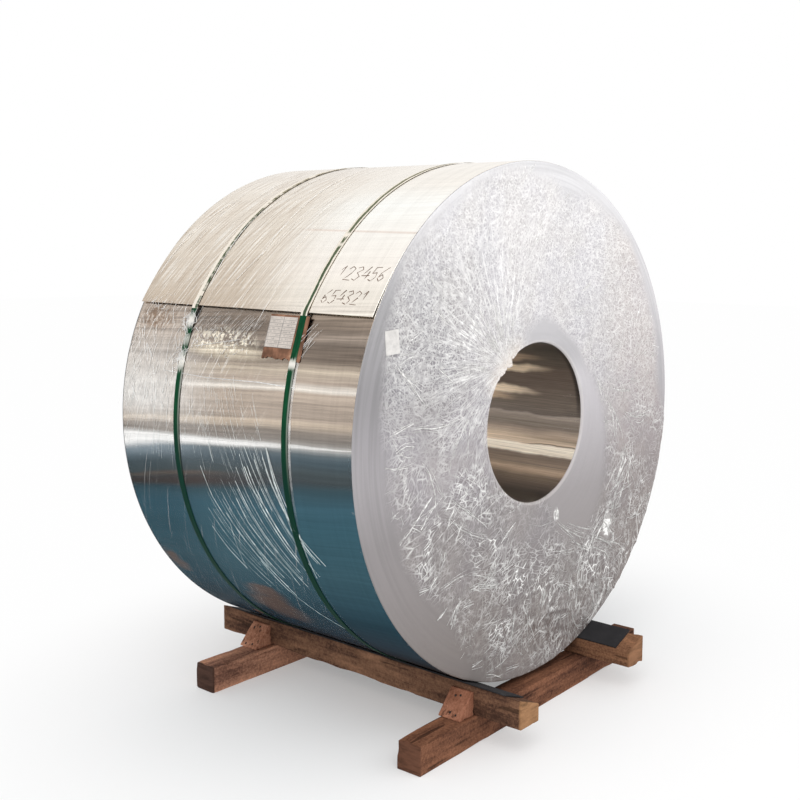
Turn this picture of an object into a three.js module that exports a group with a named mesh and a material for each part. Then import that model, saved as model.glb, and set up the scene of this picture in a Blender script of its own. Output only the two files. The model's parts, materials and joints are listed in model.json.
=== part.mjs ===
// A coil of thin metal strip, packed for transport on a timber skid. Millimetres, +Z up.
// +X runs along the coil's axis, out of its front face. -Y is the side of the strip's free end.
// The origin is on the floor, at the middle of the skid.
import * as THREE from 'three';

// ---- driving dimensions -------------------------------------------------------------------
const GAP = 0.3;                 // clearance between pieces that touch
const TURN_STEP = 3;             // facet of the round pieces, in degrees

// The coil
const COIL_RADIUS = 808;         // under the strip's free end
const BORE_RADIUS = 254;
const STRIP_WIDTH = 1000;
const STRIP_THICKNESS = 1.5;
const COIL_SHIFT = -40;          // the coil's middle, along the skid
const TAIL_ANGLE = 153.5;        // where the outermost turn ends, in degrees from +Y towards +Z
const TAIL_SPRING = 14;          // degrees over which the free end springs off the turn below
const TAIL_OPEN = 11;            // degrees over which daylight shows under it
const TAIL_LIFT = 7;             // how far its edge stands off

// End discs
const DISC_THICKNESS = 2.5;
const DISC_HOLE_RADIUS = 256;
const DISC_RIM_INSET = 1;        // the disc is that much smaller in radius than the coil

// Stretch film
const FILM_THICKNESS = 1;
const FILM_BORE_LIP = 70;        // reach of the film into the bore, past the strip's edge
const FILM_RIM_ROUNDING = 3;
const FILM_BORE_ROUNDING = 5;
const ROUNDING_STEPS = 3;
const FILM_GIRTH_EDGE = 275;     // front edge of the girth film, from the coil's middle

// Straps
const STRAP_WIDTH = 25;
const STRAP_THICKNESS = 1;
const STRAP_FRONT_X = 247;       // from the coil's middle
const STRAP_BACK_X = -229;

// Card, label and sticker
const CARD_WIDTH = 158;
const CARD_START = 0.8;          // degrees below the free edge
const CARD_SPAN = 9.4;           // degrees
const CARD_THICKNESS = 0.8;
const CARD_X = 195;              // from the coil's middle
const CARD_RAMP = 3;             // degrees over which the strap climbs onto the card
const LABEL_WIDTH = 111;
const LABEL_START = 1.2;         // degrees below the free edge
const LABEL_SPAN = 6.2;          // degrees
const LABEL_THICKNESS = 0.4;
const LABEL_X = 173;             // from the coil's middle
const STICKER = { width: 51, height: 65, thickness: 0.4, turn: 4 };
const STICKER_INSET = 84;        // its middle, in from the rim
const STICKER_ANGLE = 156;       // in degrees from +Y towards +Z

// Skid
const RUNNER_WIDTH = 89;
const RUNNER_HEIGHT = 89;
const RUNNER_LENGTH = 1334;
const RUNNER_Y = 298.5;          // middle of each runner
const BEAM_WIDTH = 86;
const BEAM_HEIGHT = 87;
const BEAM_LENGTH = 1200;
const BEAM_FRONT_X = 453;
const BEAM_BACK_X = -440;
const BEAM_FRONT_TURN = 1.4;     // degrees: the front beam lies slightly askew
const MAT_LENGTH = 1225;
const MAT_WIDTH = 97;
const MAT_SHIFT = 3;             // the mat lies that far out from the middle of the slope
const MAT_THICKNESS = 5;
const CHOCK_WIDTH = 81;          // along the runner
const CHOCK_FOOT = 67;           // out from the runner, on the beam
const CHOCK_HEIGHT = 72;
const CHOCK_LIP = 8;             // thickness left at the wedge's top
const CHOCK_TOE = 4;             // thickness left at the wedge's foot
const CHOCK_BACK_SHIFT = -12;    // the back wedges stand off the middle of their beam

// ---- sizes that follow ---------------------------------------------------------------------
const HALF_STRIP = STRIP_WIDTH / 2;
const DISC_RADIUS = COIL_RADIUS - DISC_RIM_INSET;
const DISC_FACE = HALF_STRIP + GAP + DISC_THICKNESS;
const FILM_FACE = DISC_FACE + GAP + FILM_THICKNESS;
const LAYERS = GAP + FILM_THICKNESS + GAP + STRAP_THICKNESS;
const TOUCH_RADIUS = outermostTurn(270) + LAYERS;
const CRADLE_ANGLE = Math.asin(RUNNER_Y / TOUCH_RADIUS);
const CRADLE_RADIUS = TOUCH_RADIUS + GAP + MAT_THICKNESS + GAP;
const RUNNER_BOTTOM = BEAM_HEIGHT + GAP;
const RUNNER_TOP = RUNNER_BOTTOM + RUNNER_HEIGHT;
const RUNNER_OUTSIDE = RUNNER_Y + RUNNER_WIDTH / 2;
const RUNNER_INSIDE = RUNNER_Y - RUNNER_WIDTH / 2;
const AXIS_HEIGHT = RUNNER_TOP + cradleDrop(RUNNER_OUTSIDE);

const COLOURS = {
  metal: 0x9aa0a0, disc: 0xb9b7b4, film: 0xdfe3e4, strap: 0x1f5d3a,
  card: 0x9c7b5c, paper: 0xf2f0ea, timber: 0x7d5f49, chock: 0xa37455, rubber: 0x2a2a2c,
};

// ---- helpers -------------------------------------------------------------------------------
const radians = (degrees) => degrees * Math.PI / 180;

// How far the slope of a runner lies below the axis, at a distance y from the middle.
function cradleDrop(y) {
  return (CRADLE_RADIUS - y * Math.sin(CRADLE_ANGLE)) / Math.cos(CRADLE_ANGLE);
}

function polar(radius, degrees) {
  return new THREE.Vector2(radius * Math.cos(radians(degrees)), radius * Math.sin(radians(degrees)));
}

function smooth(t) {
  const s = Math.min(Math.max(t, 0), 1);
  return s * s * (3 - 2 * s);
}

// Angles of the facets between two angles, both ends included.
function facetAngles(from, to) {
  const angles = [from];
  for (let a = Math.floor(from / TURN_STEP + 1) * TURN_STEP; a < to - 1e-6; a += TURN_STEP) {
    if (a > from + 1e-6) angles.push(a);
  }
  angles.push(to);
  return angles;
}

// Once round, from just below the strip's free edge up to the edge.
function fullTurn() {
  return facetAngles(TAIL_ANGLE - 360, TAIL_ANGLE);
}

function roundHole(radius) {
  return new THREE.Path(fullTurn().slice(1).map((a) => polar(radius(a), a)));
}

function bandShape(outer, inner) {
  const shape = new THREE.Shape(fullTurn().slice(1).map((a) => polar(outer(a), a)));
  shape.holes.push(roundHole(inner));
  return shape;
}

// Extrudes a profile drawn in Y and Z along X, centred on x.
function alongX(shape, length, x) {
  const geometry = new THREE.ExtrudeGeometry(shape, { depth: length, bevelEnabled: false });
  geometry.translate(0, 0, -length / 2);
  geometry.applyMatrix4(new THREE.Matrix4().makeBasis(
    new THREE.Vector3(0, 1, 0), new THREE.Vector3(0, 0, 1), new THREE.Vector3(1, 0, 0)));
  return geometry.translate(x, 0, 0);
}

// Turns a closed profile of [radius, x] pairs round the X axis.
function turned(profile) {
  const points = [...profile, profile[0]].map(([r, x]) => new THREE.Vector2(r, x));
  const geometry = new THREE.LatheGeometry(points, 360 / TURN_STEP);
  return geometry.applyMatrix4(new THREE.Matrix4().makeBasis(
    new THREE.Vector3(0, 0, 1), new THREE.Vector3(1, 0, 0), new THREE.Vector3(0, 1, 0)));
}

// A quarter circle in the [radius, x] plane. side is 1 where a wall turns into a face further in,
// and -1 where a face turns into a bore.
function roundedCorner(radius, x, rounding, side) {
  const corner = [];
  for (let i = 0; i <= ROUNDING_STEPS; i += 1) {
    const a = (i / ROUNDING_STEPS) * Math.PI / 2;
    corner.push([radius - side * rounding * (1 - Math.cos(a)), x - rounding * (1 - Math.sin(a))]);
  }
  return side > 0 ? corner : corner.reverse();
}

function piece(name, geometry, colour, roughness, metalness = 0) {
  const material = new THREE.MeshStandardMaterial({ color: colour, roughness, metalness });
  const mesh = new THREE.Mesh(geometry, material);
  mesh.name = name;
  return mesh;
}

// ---- the coil's outside and what lies on it --------------------------------------------------
// How far round the outermost turn an angle is: 0 just below the free edge, 1 at the edge itself.
function turnProgress(angle) {
  return 1 - ((TAIL_ANGLE - angle + 720) % 360) / 360;
}

// The free end springs straight, so it leaves the turn below ever faster.
function tailLift(angle) {
  const before = (TAIL_ANGLE - angle + 720) % 360;
  return TAIL_LIFT * Math.max(0, 1 - before / TAIL_SPRING) ** 2;
}

function outermostTurn(angle) {
  return COIL_RADIUS + STRIP_THICKNESS * turnProgress(angle) + tailLift(angle);
}

function turnBelow(angle) {
  return COIL_RADIUS + STRIP_THICKNESS * (turnProgress(angle) - 1);
}

// Film and straps run straight from the free edge down to the turn below.
function bridgeLift(angle) {
  const height = TAIL_LIFT + STRIP_THICKNESS;
  const span = Math.sqrt(2 * height / COIL_RADIUS) * 180 / Math.PI;
  const after = (angle - TAIL_ANGLE + 720) % 360;
  return height * Math.max(0, 1 - after / span) ** 2;
}

function filmOutside(angle) {
  return Math.max(outermostTurn(angle), COIL_RADIUS + bridgeLift(angle)) + GAP + FILM_THICKNESS;
}

// A strap that runs over the card climbs onto it and down again.
function cardLift(angle) {
  const after = (angle - TAIL_ANGLE + 360 + CARD_RAMP) % 360 - CARD_RAMP;
  const climb = smooth((after + CARD_RAMP) / CARD_RAMP);
  const cardEnd = CARD_START + CARD_SPAN + TURN_STEP;
  const descent = 1 - smooth((after - cardEnd) / CARD_RAMP);
  return (CARD_THICKNESS + GAP) * Math.min(climb, descent);
}

// ---- pieces ----------------------------------------------------------------------------------
// One turn of the spiral outside, back under the free end, and out again along the turn below.
function coil() {
  const under = facetAngles(TAIL_ANGLE - TAIL_OPEN, TAIL_ANGLE);
  const outline = [
    ...fullTurn().map((a) => polar(a === TAIL_ANGLE - 360 ? COIL_RADIUS : outermostTurn(a), a)),
    ...[...under].reverse().map((a) => polar(turnBelow(a) + tailLift(a), a)),
    ...under.slice(0, -1).map((a) => polar(turnBelow(a), a)),
  ];
  const shape = new THREE.Shape(outline);
  shape.holes.push(roundHole(() => BORE_RADIUS));
  return piece('coil', alongX(shape, STRIP_WIDTH, 0), COLOURS.metal, 0.22, 1);
}

function endDisc(name) {
  const profile = [
    [DISC_HOLE_RADIUS, HALF_STRIP + GAP],
    [DISC_RADIUS, HALF_STRIP + GAP],
    [DISC_RADIUS, DISC_FACE],
    [DISC_HOLE_RADIUS, DISC_FACE],
  ];
  return piece(name, turned(profile), COLOURS.disc, 0.7);
}

// Film over an end disc: round the disc's rim, across its face and into the bore.
function endFilm(name) {
  const rim = DISC_RADIUS + GAP + FILM_THICKNESS;
  const bore = BORE_RADIUS - GAP - FILM_THICKNESS;
  const lipEnd = HALF_STRIP - FILM_BORE_LIP;
  const profile = [
    [rim, HALF_STRIP + GAP],
    ...roundedCorner(rim, FILM_FACE, FILM_RIM_ROUNDING, 1),
    ...roundedCorner(bore, FILM_FACE, FILM_BORE_ROUNDING, -1),
    [bore, lipEnd],
    [bore + FILM_THICKNESS, lipEnd],
    [bore + FILM_THICKNESS, HALF_STRIP + GAP],
    [DISC_HOLE_RADIUS - GAP, HALF_STRIP + GAP],
    [DISC_HOLE_RADIUS - GAP, DISC_FACE + GAP],
    [rim - FILM_THICKNESS, DISC_FACE + GAP],
    [rim - FILM_THICKNESS, HALF_STRIP + GAP],
  ];
  return piece(name, turned(profile), COLOURS.film, 0.3);
}

function girthFilm() {
  const shape = bandShape(filmOutside, (a) => filmOutside(a) - FILM_THICKNESS);
  const length = FILM_GIRTH_EDGE + HALF_STRIP;
  return piece('film_girth', alongX(shape, length, FILM_GIRTH_EDGE - length / 2), COLOURS.film, 0.3);
}

function strap(name, x, overCard) {
  const seat = (a) => filmOutside(a) + GAP + (overCard ? cardLift(a) : 0);
  const shape = bandShape((a) => seat(a) + STRAP_THICKNESS, seat);
  return piece(name, alongX(shape, STRAP_WIDTH, x), COLOURS.strap, 0.5);
}

// A sheet that follows the film, from one angle to another, a given height above it.
function sheetOnFilm(height, thickness, start, span) {
  const angles = facetAngles(TAIL_ANGLE + start, TAIL_ANGLE + start + span);
  const under = angles.map((a) => polar(filmOutside(a) + height, a));
  const over = angles.map((a) => polar(filmOutside(a) + height + thickness, a));
  return new THREE.Shape([...over, ...under.reverse()]);
}

function card() {
  const shape = sheetOnFilm(GAP, CARD_THICKNESS, CARD_START, CARD_SPAN);
  return piece('label_card', alongX(shape, CARD_WIDTH, CARD_X), COLOURS.card, 0.9);
}

function label() {
  const shape = sheetOnFilm(GAP + CARD_THICKNESS + GAP, LABEL_THICKNESS, LABEL_START, LABEL_SPAN);
  return piece('label_sheet', alongX(shape, LABEL_WIDTH, LABEL_X), COLOURS.paper, 0.6);
}

function sticker() {
  const geometry = new THREE.BoxGeometry(STICKER.thickness, STICKER.width, STICKER.height);
  const mesh = piece('end_sticker', geometry, COLOURS.paper, 0.6);
  const place = polar(COIL_RADIUS - STICKER_INSET, STICKER_ANGLE);
  mesh.position.set(FILM_FACE + GAP + STICKER.thickness / 2, place.x, place.y);
  mesh.rotation.x = radians(STICKER.turn);
  return mesh;
}

// A runner's section: square timber with its top sawn to the cradle's slope.
function runner(name, side) {
  const outside = side * RUNNER_OUTSIDE;
  const inside = side * RUNNER_INSIDE;
  const shape = new THREE.Shape([
    new THREE.Vector2(inside, RUNNER_BOTTOM),
    new THREE.Vector2(outside, RUNNER_BOTTOM),
    new THREE.Vector2(outside, RUNNER_TOP),
    new THREE.Vector2(inside, AXIS_HEIGHT - cradleDrop(RUNNER_INSIDE)),
  ]);
  return piece(name, alongX(shape, RUNNER_LENGTH, 0), COLOURS.timber, 0.9);
}

function beam(name, x, turn) {
  const mesh = piece(name, new THREE.BoxGeometry(BEAM_WIDTH, BEAM_LENGTH, BEAM_HEIGHT), COLOURS.timber, 0.9);
  mesh.position.set(x, 0, BEAM_HEIGHT / 2);
  mesh.rotation.z = radians(turn);
  return mesh;
}

// A wedge in the corner between a runner's outer side and a beam's top.
function chock(name, x, side) {
  const wall = RUNNER_OUTSIDE + GAP;
  const foot = BEAM_HEIGHT + GAP;
  const shape = new THREE.Shape([
    new THREE.Vector2(side * wall, foot),
    new THREE.Vector2(side * (wall + CHOCK_FOOT), foot),
    new THREE.Vector2(side * (wall + CHOCK_FOOT), foot + CHOCK_TOE),
    new THREE.Vector2(side * (wall + CHOCK_LIP), foot + CHOCK_HEIGHT),
    new THREE.Vector2(side * wall, foot + CHOCK_HEIGHT),
  ]);
  return piece(name, alongX(shape, CHOCK_WIDTH, x), COLOURS.chock, 0.85);
}

// A rubber strip on a runner's slope, under the coil.
function mat(name, side) {
  const mesh = piece(name, new THREE.BoxGeometry(MAT_LENGTH, MAT_WIDTH, MAT_THICKNESS), COLOURS.rubber, 0.9);
  const reach = TOUCH_RADIUS + GAP + MAT_THICKNESS / 2;
  const out = reach * Math.sin(CRADLE_ANGLE) + MAT_SHIFT * Math.cos(CRADLE_ANGLE);
  const drop = reach * Math.cos(CRADLE_ANGLE) - MAT_SHIFT * Math.sin(CRADLE_ANGLE);
  mesh.position.set(0, side * out, AXIS_HEIGHT - drop);
  mesh.rotation.x = side * CRADLE_ANGLE;
  return mesh;
}

// ---- assembly ----------------------------------------------------------------------------------
function packedCoil() {
  const group = new THREE.Group();
  group.position.set(COIL_SHIFT, 0, AXIS_HEIGHT);
  group.add(coil(), girthFilm(), card(), label(), sticker());
  group.add(strap('strap_front', STRAP_FRONT_X, true), strap('strap_back', STRAP_BACK_X, false));
  group.add(endDisc('end_disc_front'), endFilm('film_front'));
  const backEnd = new THREE.Group();
  backEnd.rotation.z = Math.PI;
  backEnd.add(endDisc('end_disc_back'), endFilm('film_back'));
  group.add(backEnd);
  return group;
}

function skid() {
  const group = new THREE.Group();
  group.add(beam('beam_front', BEAM_FRONT_X, BEAM_FRONT_TURN), beam('beam_back', BEAM_BACK_X, 0));
  for (const [place, side] of [['near', -1], ['far', 1]]) {
    group.add(runner(`runner_${place}`, side), mat(`mat_${place}`, side));
    group.add(chock(`chock_${place}_front`, BEAM_FRONT_X, side));
    group.add(chock(`chock_${place}_back`, BEAM_BACK_X + CHOCK_BACK_SHIFT, side));
  }
  return group;
}

const root = new THREE.Group();
root.add(packedCoil(), skid());
export default root;
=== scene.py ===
"""A packed coil of metal strip on a timber skid: the looks of every piece, round its solids.

Metres, +Z up. +X runs along the coil's axis, out of its front face, and -Y is the side of the
strip's free end. Angles round the coil are in degrees, from +Y towards +Z.
"""

import itertools
import json
import math

import bmesh
import bpy
import numpy as np
from bpy.props import FloatProperty, FloatVectorProperty, IntProperty, PointerProperty
from mathutils import Matrix, Vector

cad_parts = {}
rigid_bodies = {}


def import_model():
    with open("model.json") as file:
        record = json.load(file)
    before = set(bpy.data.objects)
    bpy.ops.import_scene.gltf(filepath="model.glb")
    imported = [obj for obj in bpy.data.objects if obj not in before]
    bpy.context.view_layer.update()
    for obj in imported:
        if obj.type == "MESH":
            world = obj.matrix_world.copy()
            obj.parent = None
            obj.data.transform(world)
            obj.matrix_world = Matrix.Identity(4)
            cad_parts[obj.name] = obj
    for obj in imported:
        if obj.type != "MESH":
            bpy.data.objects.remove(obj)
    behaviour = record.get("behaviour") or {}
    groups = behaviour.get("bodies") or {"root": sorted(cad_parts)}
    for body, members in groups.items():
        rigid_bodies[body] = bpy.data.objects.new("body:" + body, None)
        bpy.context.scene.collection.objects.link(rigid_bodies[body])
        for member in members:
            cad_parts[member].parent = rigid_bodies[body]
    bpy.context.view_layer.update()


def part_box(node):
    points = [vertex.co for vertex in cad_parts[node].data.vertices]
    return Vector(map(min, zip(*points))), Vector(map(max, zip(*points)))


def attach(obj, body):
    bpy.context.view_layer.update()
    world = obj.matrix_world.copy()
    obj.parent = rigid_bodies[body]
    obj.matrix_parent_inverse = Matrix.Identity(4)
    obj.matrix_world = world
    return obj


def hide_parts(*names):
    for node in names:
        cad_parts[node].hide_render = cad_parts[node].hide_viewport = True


bl_info = {
    "name": "Packed strip coil",
    "version": (1, 0, 0),
    "blender": (4, 5, 0),
    "location": "3D View > Sidebar > Coil",
    "description": "Builds a packed coil of metal strip on its timber skid",
    "category": "Add Mesh",
}

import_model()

# ---- sizes read from the frame ---------------------------------------------------------------
COIL_LOW, COIL_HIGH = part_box("coil")
DISC_LOW, DISC_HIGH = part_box("end_disc_front")
FILM_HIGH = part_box("film_front")[1]
GIRTH_LOW, GIRTH_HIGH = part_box("film_girth")
LABEL_LOW, LABEL_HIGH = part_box("label_sheet")
MIDDLE = (COIL_LOW.x + COIL_HIGH.x) / 2          # the coil's middle, along X
HALF_STRIP = (COIL_HIGH.x - COIL_LOW.x) / 2
AXIS = (DISC_LOW.z + DISC_HIGH.z) / 2            # height of the coil's axis
DISC_RADIUS = (DISC_HIGH.z - DISC_LOW.z) / 2
DISC_FACE = DISC_HIGH.x - MIDDLE                 # out from the middle, as the next ones are
FILM_FACE = FILM_HIGH.x - MIDDLE

# ---- fixed sizes -----------------------------------------------------------------------------
GAP = 0.0003
FILM = 0.001                                     # thickness of the film
COIL_RADIUS = DISC_RADIUS + 0.001
TURN_THICKNESS = 0.0015
TAIL_ANGLE = 153.5                               # the strip's free end
TAIL_SPRING = 14.0                               # degrees over which it springs off
TAIL_OPEN = 11.0                                 # degrees over which daylight shows under it
TAIL_LIFT = 0.007
CARD_THICKNESS = 0.0008
LABEL_THICKNESS = 0.0004
CARD_START, CARD_SPAN = 0.8, 9.4                 # degrees below the free edge, and on from there
LABEL_START, LABEL_SPAN = 1.2, 6.2
ONCE_ROUND = 2 * math.pi * COIL_RADIUS
RING_STEP = 0.003                                # from turn to turn at the strip's edges
WEAVE_LENGTH, WEAVE_WIDTH = 0.005, 0.004         # of the pattern pressed into the straps
FOLD_LEVEL = 0.51                                # where crease patterns have their middle line


# ---- settings --------------------------------------------------------------------------------
def paint(red, green, blue):
    """A colour as a paint chart gives it, 0 to 255, in the light units that shaders use."""
    return tuple(
        c / 12.92 if c <= 0.04045 else ((c + 0.055) / 1.055) ** 2.4
        for c in (red / 255, green / 255, blue / 255)
    )


def number_setting(name, default, description, **limits):
    limits = {"min": 0.0, **limits}
    return FloatProperty(name=name, default=default, description=description, **limits)


def length_setting(name, default, description):
    return number_setting(name, default, description, subtype="DISTANCE", unit="LENGTH")


def colour_setting(name, default, description):
    return FloatVectorProperty(name=name, default=default, description=description,
                               subtype="COLOR", size=3, min=0.0, max=1.0)


class CoilSettings(bpy.types.PropertyGroup):
    """Sizes and colours of the coil of strip."""

    bore_radius: length_setting("Bore radius", 0.254, "Radius of the hole through the coil")
    facet: number_setting("Facet", 0.5, "Facet of the round walls, in degrees", min=0.25, max=3.0)
    # The top and foot colours are painted reflections: the girth's colour where it mirrors the sky
    # above and the floor below.
    cream_reflection: colour_setting("Top of the girth", paint(246, 236, 220), "The strip towards the sky")
    foot_reflection: colour_setting("Foot of the girth", paint(36, 58, 71), "The strip towards the floor")
    roughness: number_setting("Roughness", 0.24, "Of the strip", max=1.0)
    ink: colour_setting("Marker ink", paint(112, 92, 80), "The numerals drawn on the free end")


class WrapSettings(bpy.types.PropertyGroup):
    """Sizes and colours of discs, film, straps, card and labels."""

    disc: colour_setting("End disc", paint(186, 183, 182), "Colour of the end discs")
    crease: colour_setting("Crease", paint(253, 252, 250), "Film where it is folded white")
    strap: colour_setting("Strap", paint(14, 66, 40), "Colour of the girth straps")
    card: colour_setting("Card", paint(124, 89, 70), "Colour of the brown card")
    paper: colour_setting("Paper", paint(206, 203, 200), "Colour of the labels")
    crinkle_height: length_setting("Crinkle height", 0.006, "Highest folds of the film on the ends")
    seed: IntProperty(name="Seed", default=11, description="Changes how the film is creased")


class SkidSettings(bpy.types.PropertyGroup):
    """Colours and wear of the timber, wedges, mats and nails."""

    timber_dark: colour_setting("Timber, dark", paint(76, 54, 43), "The skid's dark grain")
    timber_light: colour_setting("Timber, light", paint(136, 102, 79), "The skid's light grain")
    wedge_dark: colour_setting("Wedge, dark", paint(146, 98, 72), "The wedges' dark grain")
    wedge_light: colour_setting("Wedge, light", paint(198, 144, 112), "The wedges' light grain")
    rubber: colour_setting("Rubber", paint(46, 45, 47), "Colour of the mats")
    nail: colour_setting("Nail", paint(38, 30, 28), "Colour of the nail heads")
    nail_radius: length_setting("Nail head radius", 0.0038, "Radius of a nail's head")
    wear: length_setting("Wear", 0.004, "Depth of the chips along the timber's edges")


class StudioSettings(bpy.types.PropertyGroup):
    """Floor and light."""

    floor: colour_setting("Floor", (0.93, 0.93, 0.93), "Colour of the floor")
    sky: number_setting("Sky", 0.78, "Strength of the light from all round")
    key: number_setting("Key light", 160.0, "Power of the large lamp, in watts")
    fill: number_setting("Fill light", 50.0, "Power of the side lamp, in watts")
    inner: number_setting("Bore light", 0.68, "Power of each lamp in the bore, in watts")


# ---- meshes ----------------------------------------------------------------------------------
def put(name, data):
    """Puts a mesh, a lamp or a camera into the scene as an object of that name."""
    made = bpy.data.objects.new(name, data)
    bpy.context.scene.collection.objects.link(made)
    return made


def make_object(name, mesh, *materials):
    """A mesh with its materials as an object, smooth but for its sharp edges."""
    for material in materials:
        mesh.materials.append(material)
    mesh.shade_smooth()
    mesh.set_sharp_from_angle(angle=math.radians(38))
    return put(name, mesh)


def settle(piece, slot, *nodes):
    """Attaches a finished piece to the root body and hides the solids it stands for; slot, its
    finish, is not used.
    """
    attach(piece, "root")
    if nodes:
        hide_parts(*nodes)


def enclosed(points, faces):
    """The volume inside closed faces, below zero where they point inwards."""
    a, b, c, d = (points[faces[:, i]] for i in range(4))
    corners = np.cross(b, c) + np.cross(c, d)
    return (a * corners).sum() / 6


def mesh_of(name, points, faces, unrolled=None):
    """A mesh of four-cornered faces that point outwards. unrolled holds each corner's UV."""
    centred = points - points.mean(axis=0)
    if enclosed(centred, faces) < 0:
        faces = faces[:, ::-1]
        unrolled = None if unrolled is None else unrolled[:, ::-1]
    mesh = bpy.data.meshes.new(name)
    mesh.from_pydata(points.tolist(), [], faces.tolist())
    if unrolled is not None:
        layer = mesh.uv_layers.new(name="unrolled")
        layer.uv.foreach_set("vector", np.ascontiguousarray(unrolled, np.float32).ravel())
    return mesh


def grid_faces(rows, columns, row_count, column_count):
    """Faces between rows and columns of points, joining round where a row or column comes back."""
    row, column = np.meshgrid(np.arange(rows), np.arange(columns), indexing="ij")
    down, across = (row + 1) % row_count, (column + 1) % column_count
    corners = [row * column_count + column, row * column_count + across,
               down * column_count + across, down * column_count + column]
    return np.stack(corners, -1).reshape(-1, 4)


def corner_map(flat):
    """The UV of each face's corners, from a grid that is one row and one column larger."""
    corners = [flat[:-1, :-1], flat[:-1, 1:], flat[1:, 1:], flat[1:, :-1]]
    return np.stack(corners, 2).reshape(-1, 4, 2)


def ring_mesh(name, points, flat=None):
    """A closed skin from points[row, column], which joins up both ways round, as a tyre does."""
    rows, columns = points.shape[:2]
    faces = grid_faces(rows, columns, rows, columns)
    return mesh_of(name, points.reshape(-1, 3), faces, None if flat is None else corner_map(flat))


def slab_mesh(name, over, under):
    """A closed sheet between two grids of points, such as a card's upper and lower side."""
    rows, columns = over.shape[:2]
    rim_rows = np.concatenate([over, under[::-1]], axis=0)
    faces = grid_faces(2 * rows, columns - 1, 2 * rows, columns)
    index = np.arange(2 * rows * columns).reshape(2 * rows, columns)
    sides = []
    for column, turn in ((0, 1), (columns - 1, -1)):
        top, bottom = index[:rows, column], index[rows:, column][::-1]
        side = np.stack([top[:-1], top[1:], bottom[1:], bottom[:-1]], -1)
        sides.append(side[:, ::turn])
    return mesh_of(name, rim_rows.reshape(-1, 3), np.concatenate([faces, *sides]))


def on_coil(angle, radius, x):
    """Points by their angle, their distance from the axis, and x, out from the coil's middle."""
    turn = np.radians(angle)
    turn, radius, x = np.broadcast_arrays(turn, radius, x)
    return np.stack([MIDDLE + x, radius * np.cos(turn), AXIS + radius * np.sin(turn)], axis=-1)


def full_turn(step):
    """Angles once round, from just below the strip's free edge up to the edge."""
    count = round(360 / step)
    return TAIL_ANGLE - 360 + 360 / count * np.arange(1, count + 1)


def smooth(low, high, value):
    """0 below low, 1 above high and a smooth rise between them."""
    share = np.clip((value - low) / (high - low), 0, 1)
    return share * share * (3 - 2 * share)


def lattice_noise(points, seed):
    """Smooth noise from -1 to 1 at points[..., 3], about one bump for each unit."""
    table = np.random.default_rng(seed).uniform(-1, 1, (32, 32, 32))
    cell = np.floor(points).astype(int)
    share = points - cell
    share = share * share * (3 - 2 * share)
    total = np.zeros(points.shape[:-1])
    for corner in itertools.product((0, 1), repeat=3):
        weight = np.where(np.array(corner) == 1, share, 1 - share).prod(axis=-1)
        place = (cell + corner) % 32
        total += weight * table[place[..., 0], place[..., 1], place[..., 2]]
    return total


# ---- the strip's outside and what lies on it -------------------------------------------------
def before_edge(angle):
    """Degrees from an angle up to the free edge, from 0 to 360."""
    return np.round(TAIL_ANGLE - angle, 6) % 360


def progress(angle):
    """How far round the outermost turn: 0 just below the free edge, 1 at the edge itself."""
    return 1 - before_edge(angle) / 360


def tail_lift(angle):
    """How far the free end stands off: it springs straight, so it leaves ever faster."""
    return TAIL_LIFT * np.clip(1 - before_edge(angle) / TAIL_SPRING, 0, 1) ** 2


def outermost_turn(angle):
    return COIL_RADIUS + TURN_THICKNESS * progress(angle) + tail_lift(angle)


def turn_below(angle):
    return COIL_RADIUS + TURN_THICKNESS * (progress(angle) - 1)


def bridge_lift(angle):
    """Film and straps run straight from the free edge down to the turn below."""
    height = TAIL_LIFT + TURN_THICKNESS
    span = math.degrees(math.sqrt(2 * height / COIL_RADIUS))
    return height * np.clip(1 - ((angle - TAIL_ANGLE) % 360) / span, 0, 1) ** 2


def film_outside(angle):
    return np.maximum(outermost_turn(angle), COIL_RADIUS + bridge_lift(angle)) + GAP + FILM


# ---- node trees ------------------------------------------------------------------------------
class Value:
    """What a node puts out. Arithmetic with it adds nodes to its tree."""

    def __init__(self, net, socket):
        self.net, self.socket = net, socket

    def __add__(self, other):
        return self.net.math("ADD", self, other)

    def __sub__(self, other):
        return self.net.math("SUBTRACT", self, other)

    def __rsub__(self, other):
        return self.net.math("SUBTRACT", other, self)

    def __mul__(self, other):
        return self.net.math("MULTIPLY", self, other)

    def __truediv__(self, other):
        return self.net.math("DIVIDE", self, other)

    def __abs__(self):
        return self.net.math("ABSOLUTE", self)


class Wiring:
    """A node tree that is added to and wired one node at a time."""

    family = ""                                  # what the names of the tree's own nodes start with

    def __init__(self, tree):
        self.tree = tree

    def plug(self, socket, value):
        """Gives an input a node's output, or a constant, which may leave out a colour's alpha."""
        if isinstance(value, Value):
            value = value.socket
        if isinstance(value, bpy.types.NodeSocket):
            self.tree.links.new(value, socket)
        elif hasattr(value, "__len__") and len(value) == 3 and len(socket.default_value) == 4:
            socket.default_value = (*value, 1.0)
        else:
            socket.default_value = value

    def add(self, kind, plugs=(), **settings):
        made = self.tree.nodes.new(kind if "Node" in kind else self.family + kind)
        for key, value in settings.items():
            setattr(made, key, value)
        for key, value in dict(plugs).items():
            self.plug(made.inputs[key], value)
        return made

    def node(self, kind, plugs=(), output=0, **settings):
        """Adds a node and gives one of its outputs."""
        return Value(self, self.add(kind, plugs, **settings).outputs[output])

    def math(self, operation, *values):
        return self.node("ShaderNodeMath", enumerate(values), operation=operation)

    def maximum(self, a, b):
        return self.math("MAXIMUM", a, b)

    def vector(self, operation, *values):
        output = "Value" if operation in ("LENGTH", "DOT_PRODUCT") else "Vector"
        return self.node("ShaderNodeVectorMath", enumerate(values), output, operation=operation)

    def split(self, value):
        return [Value(self, part) for part in self.add("ShaderNodeSeparateXYZ", {0: value}).outputs]

    def join(self, x=0.0, y=0.0, z=0.0):
        return self.node("ShaderNodeCombineXYZ", {"X": x, "Y": y, "Z": z})


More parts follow.
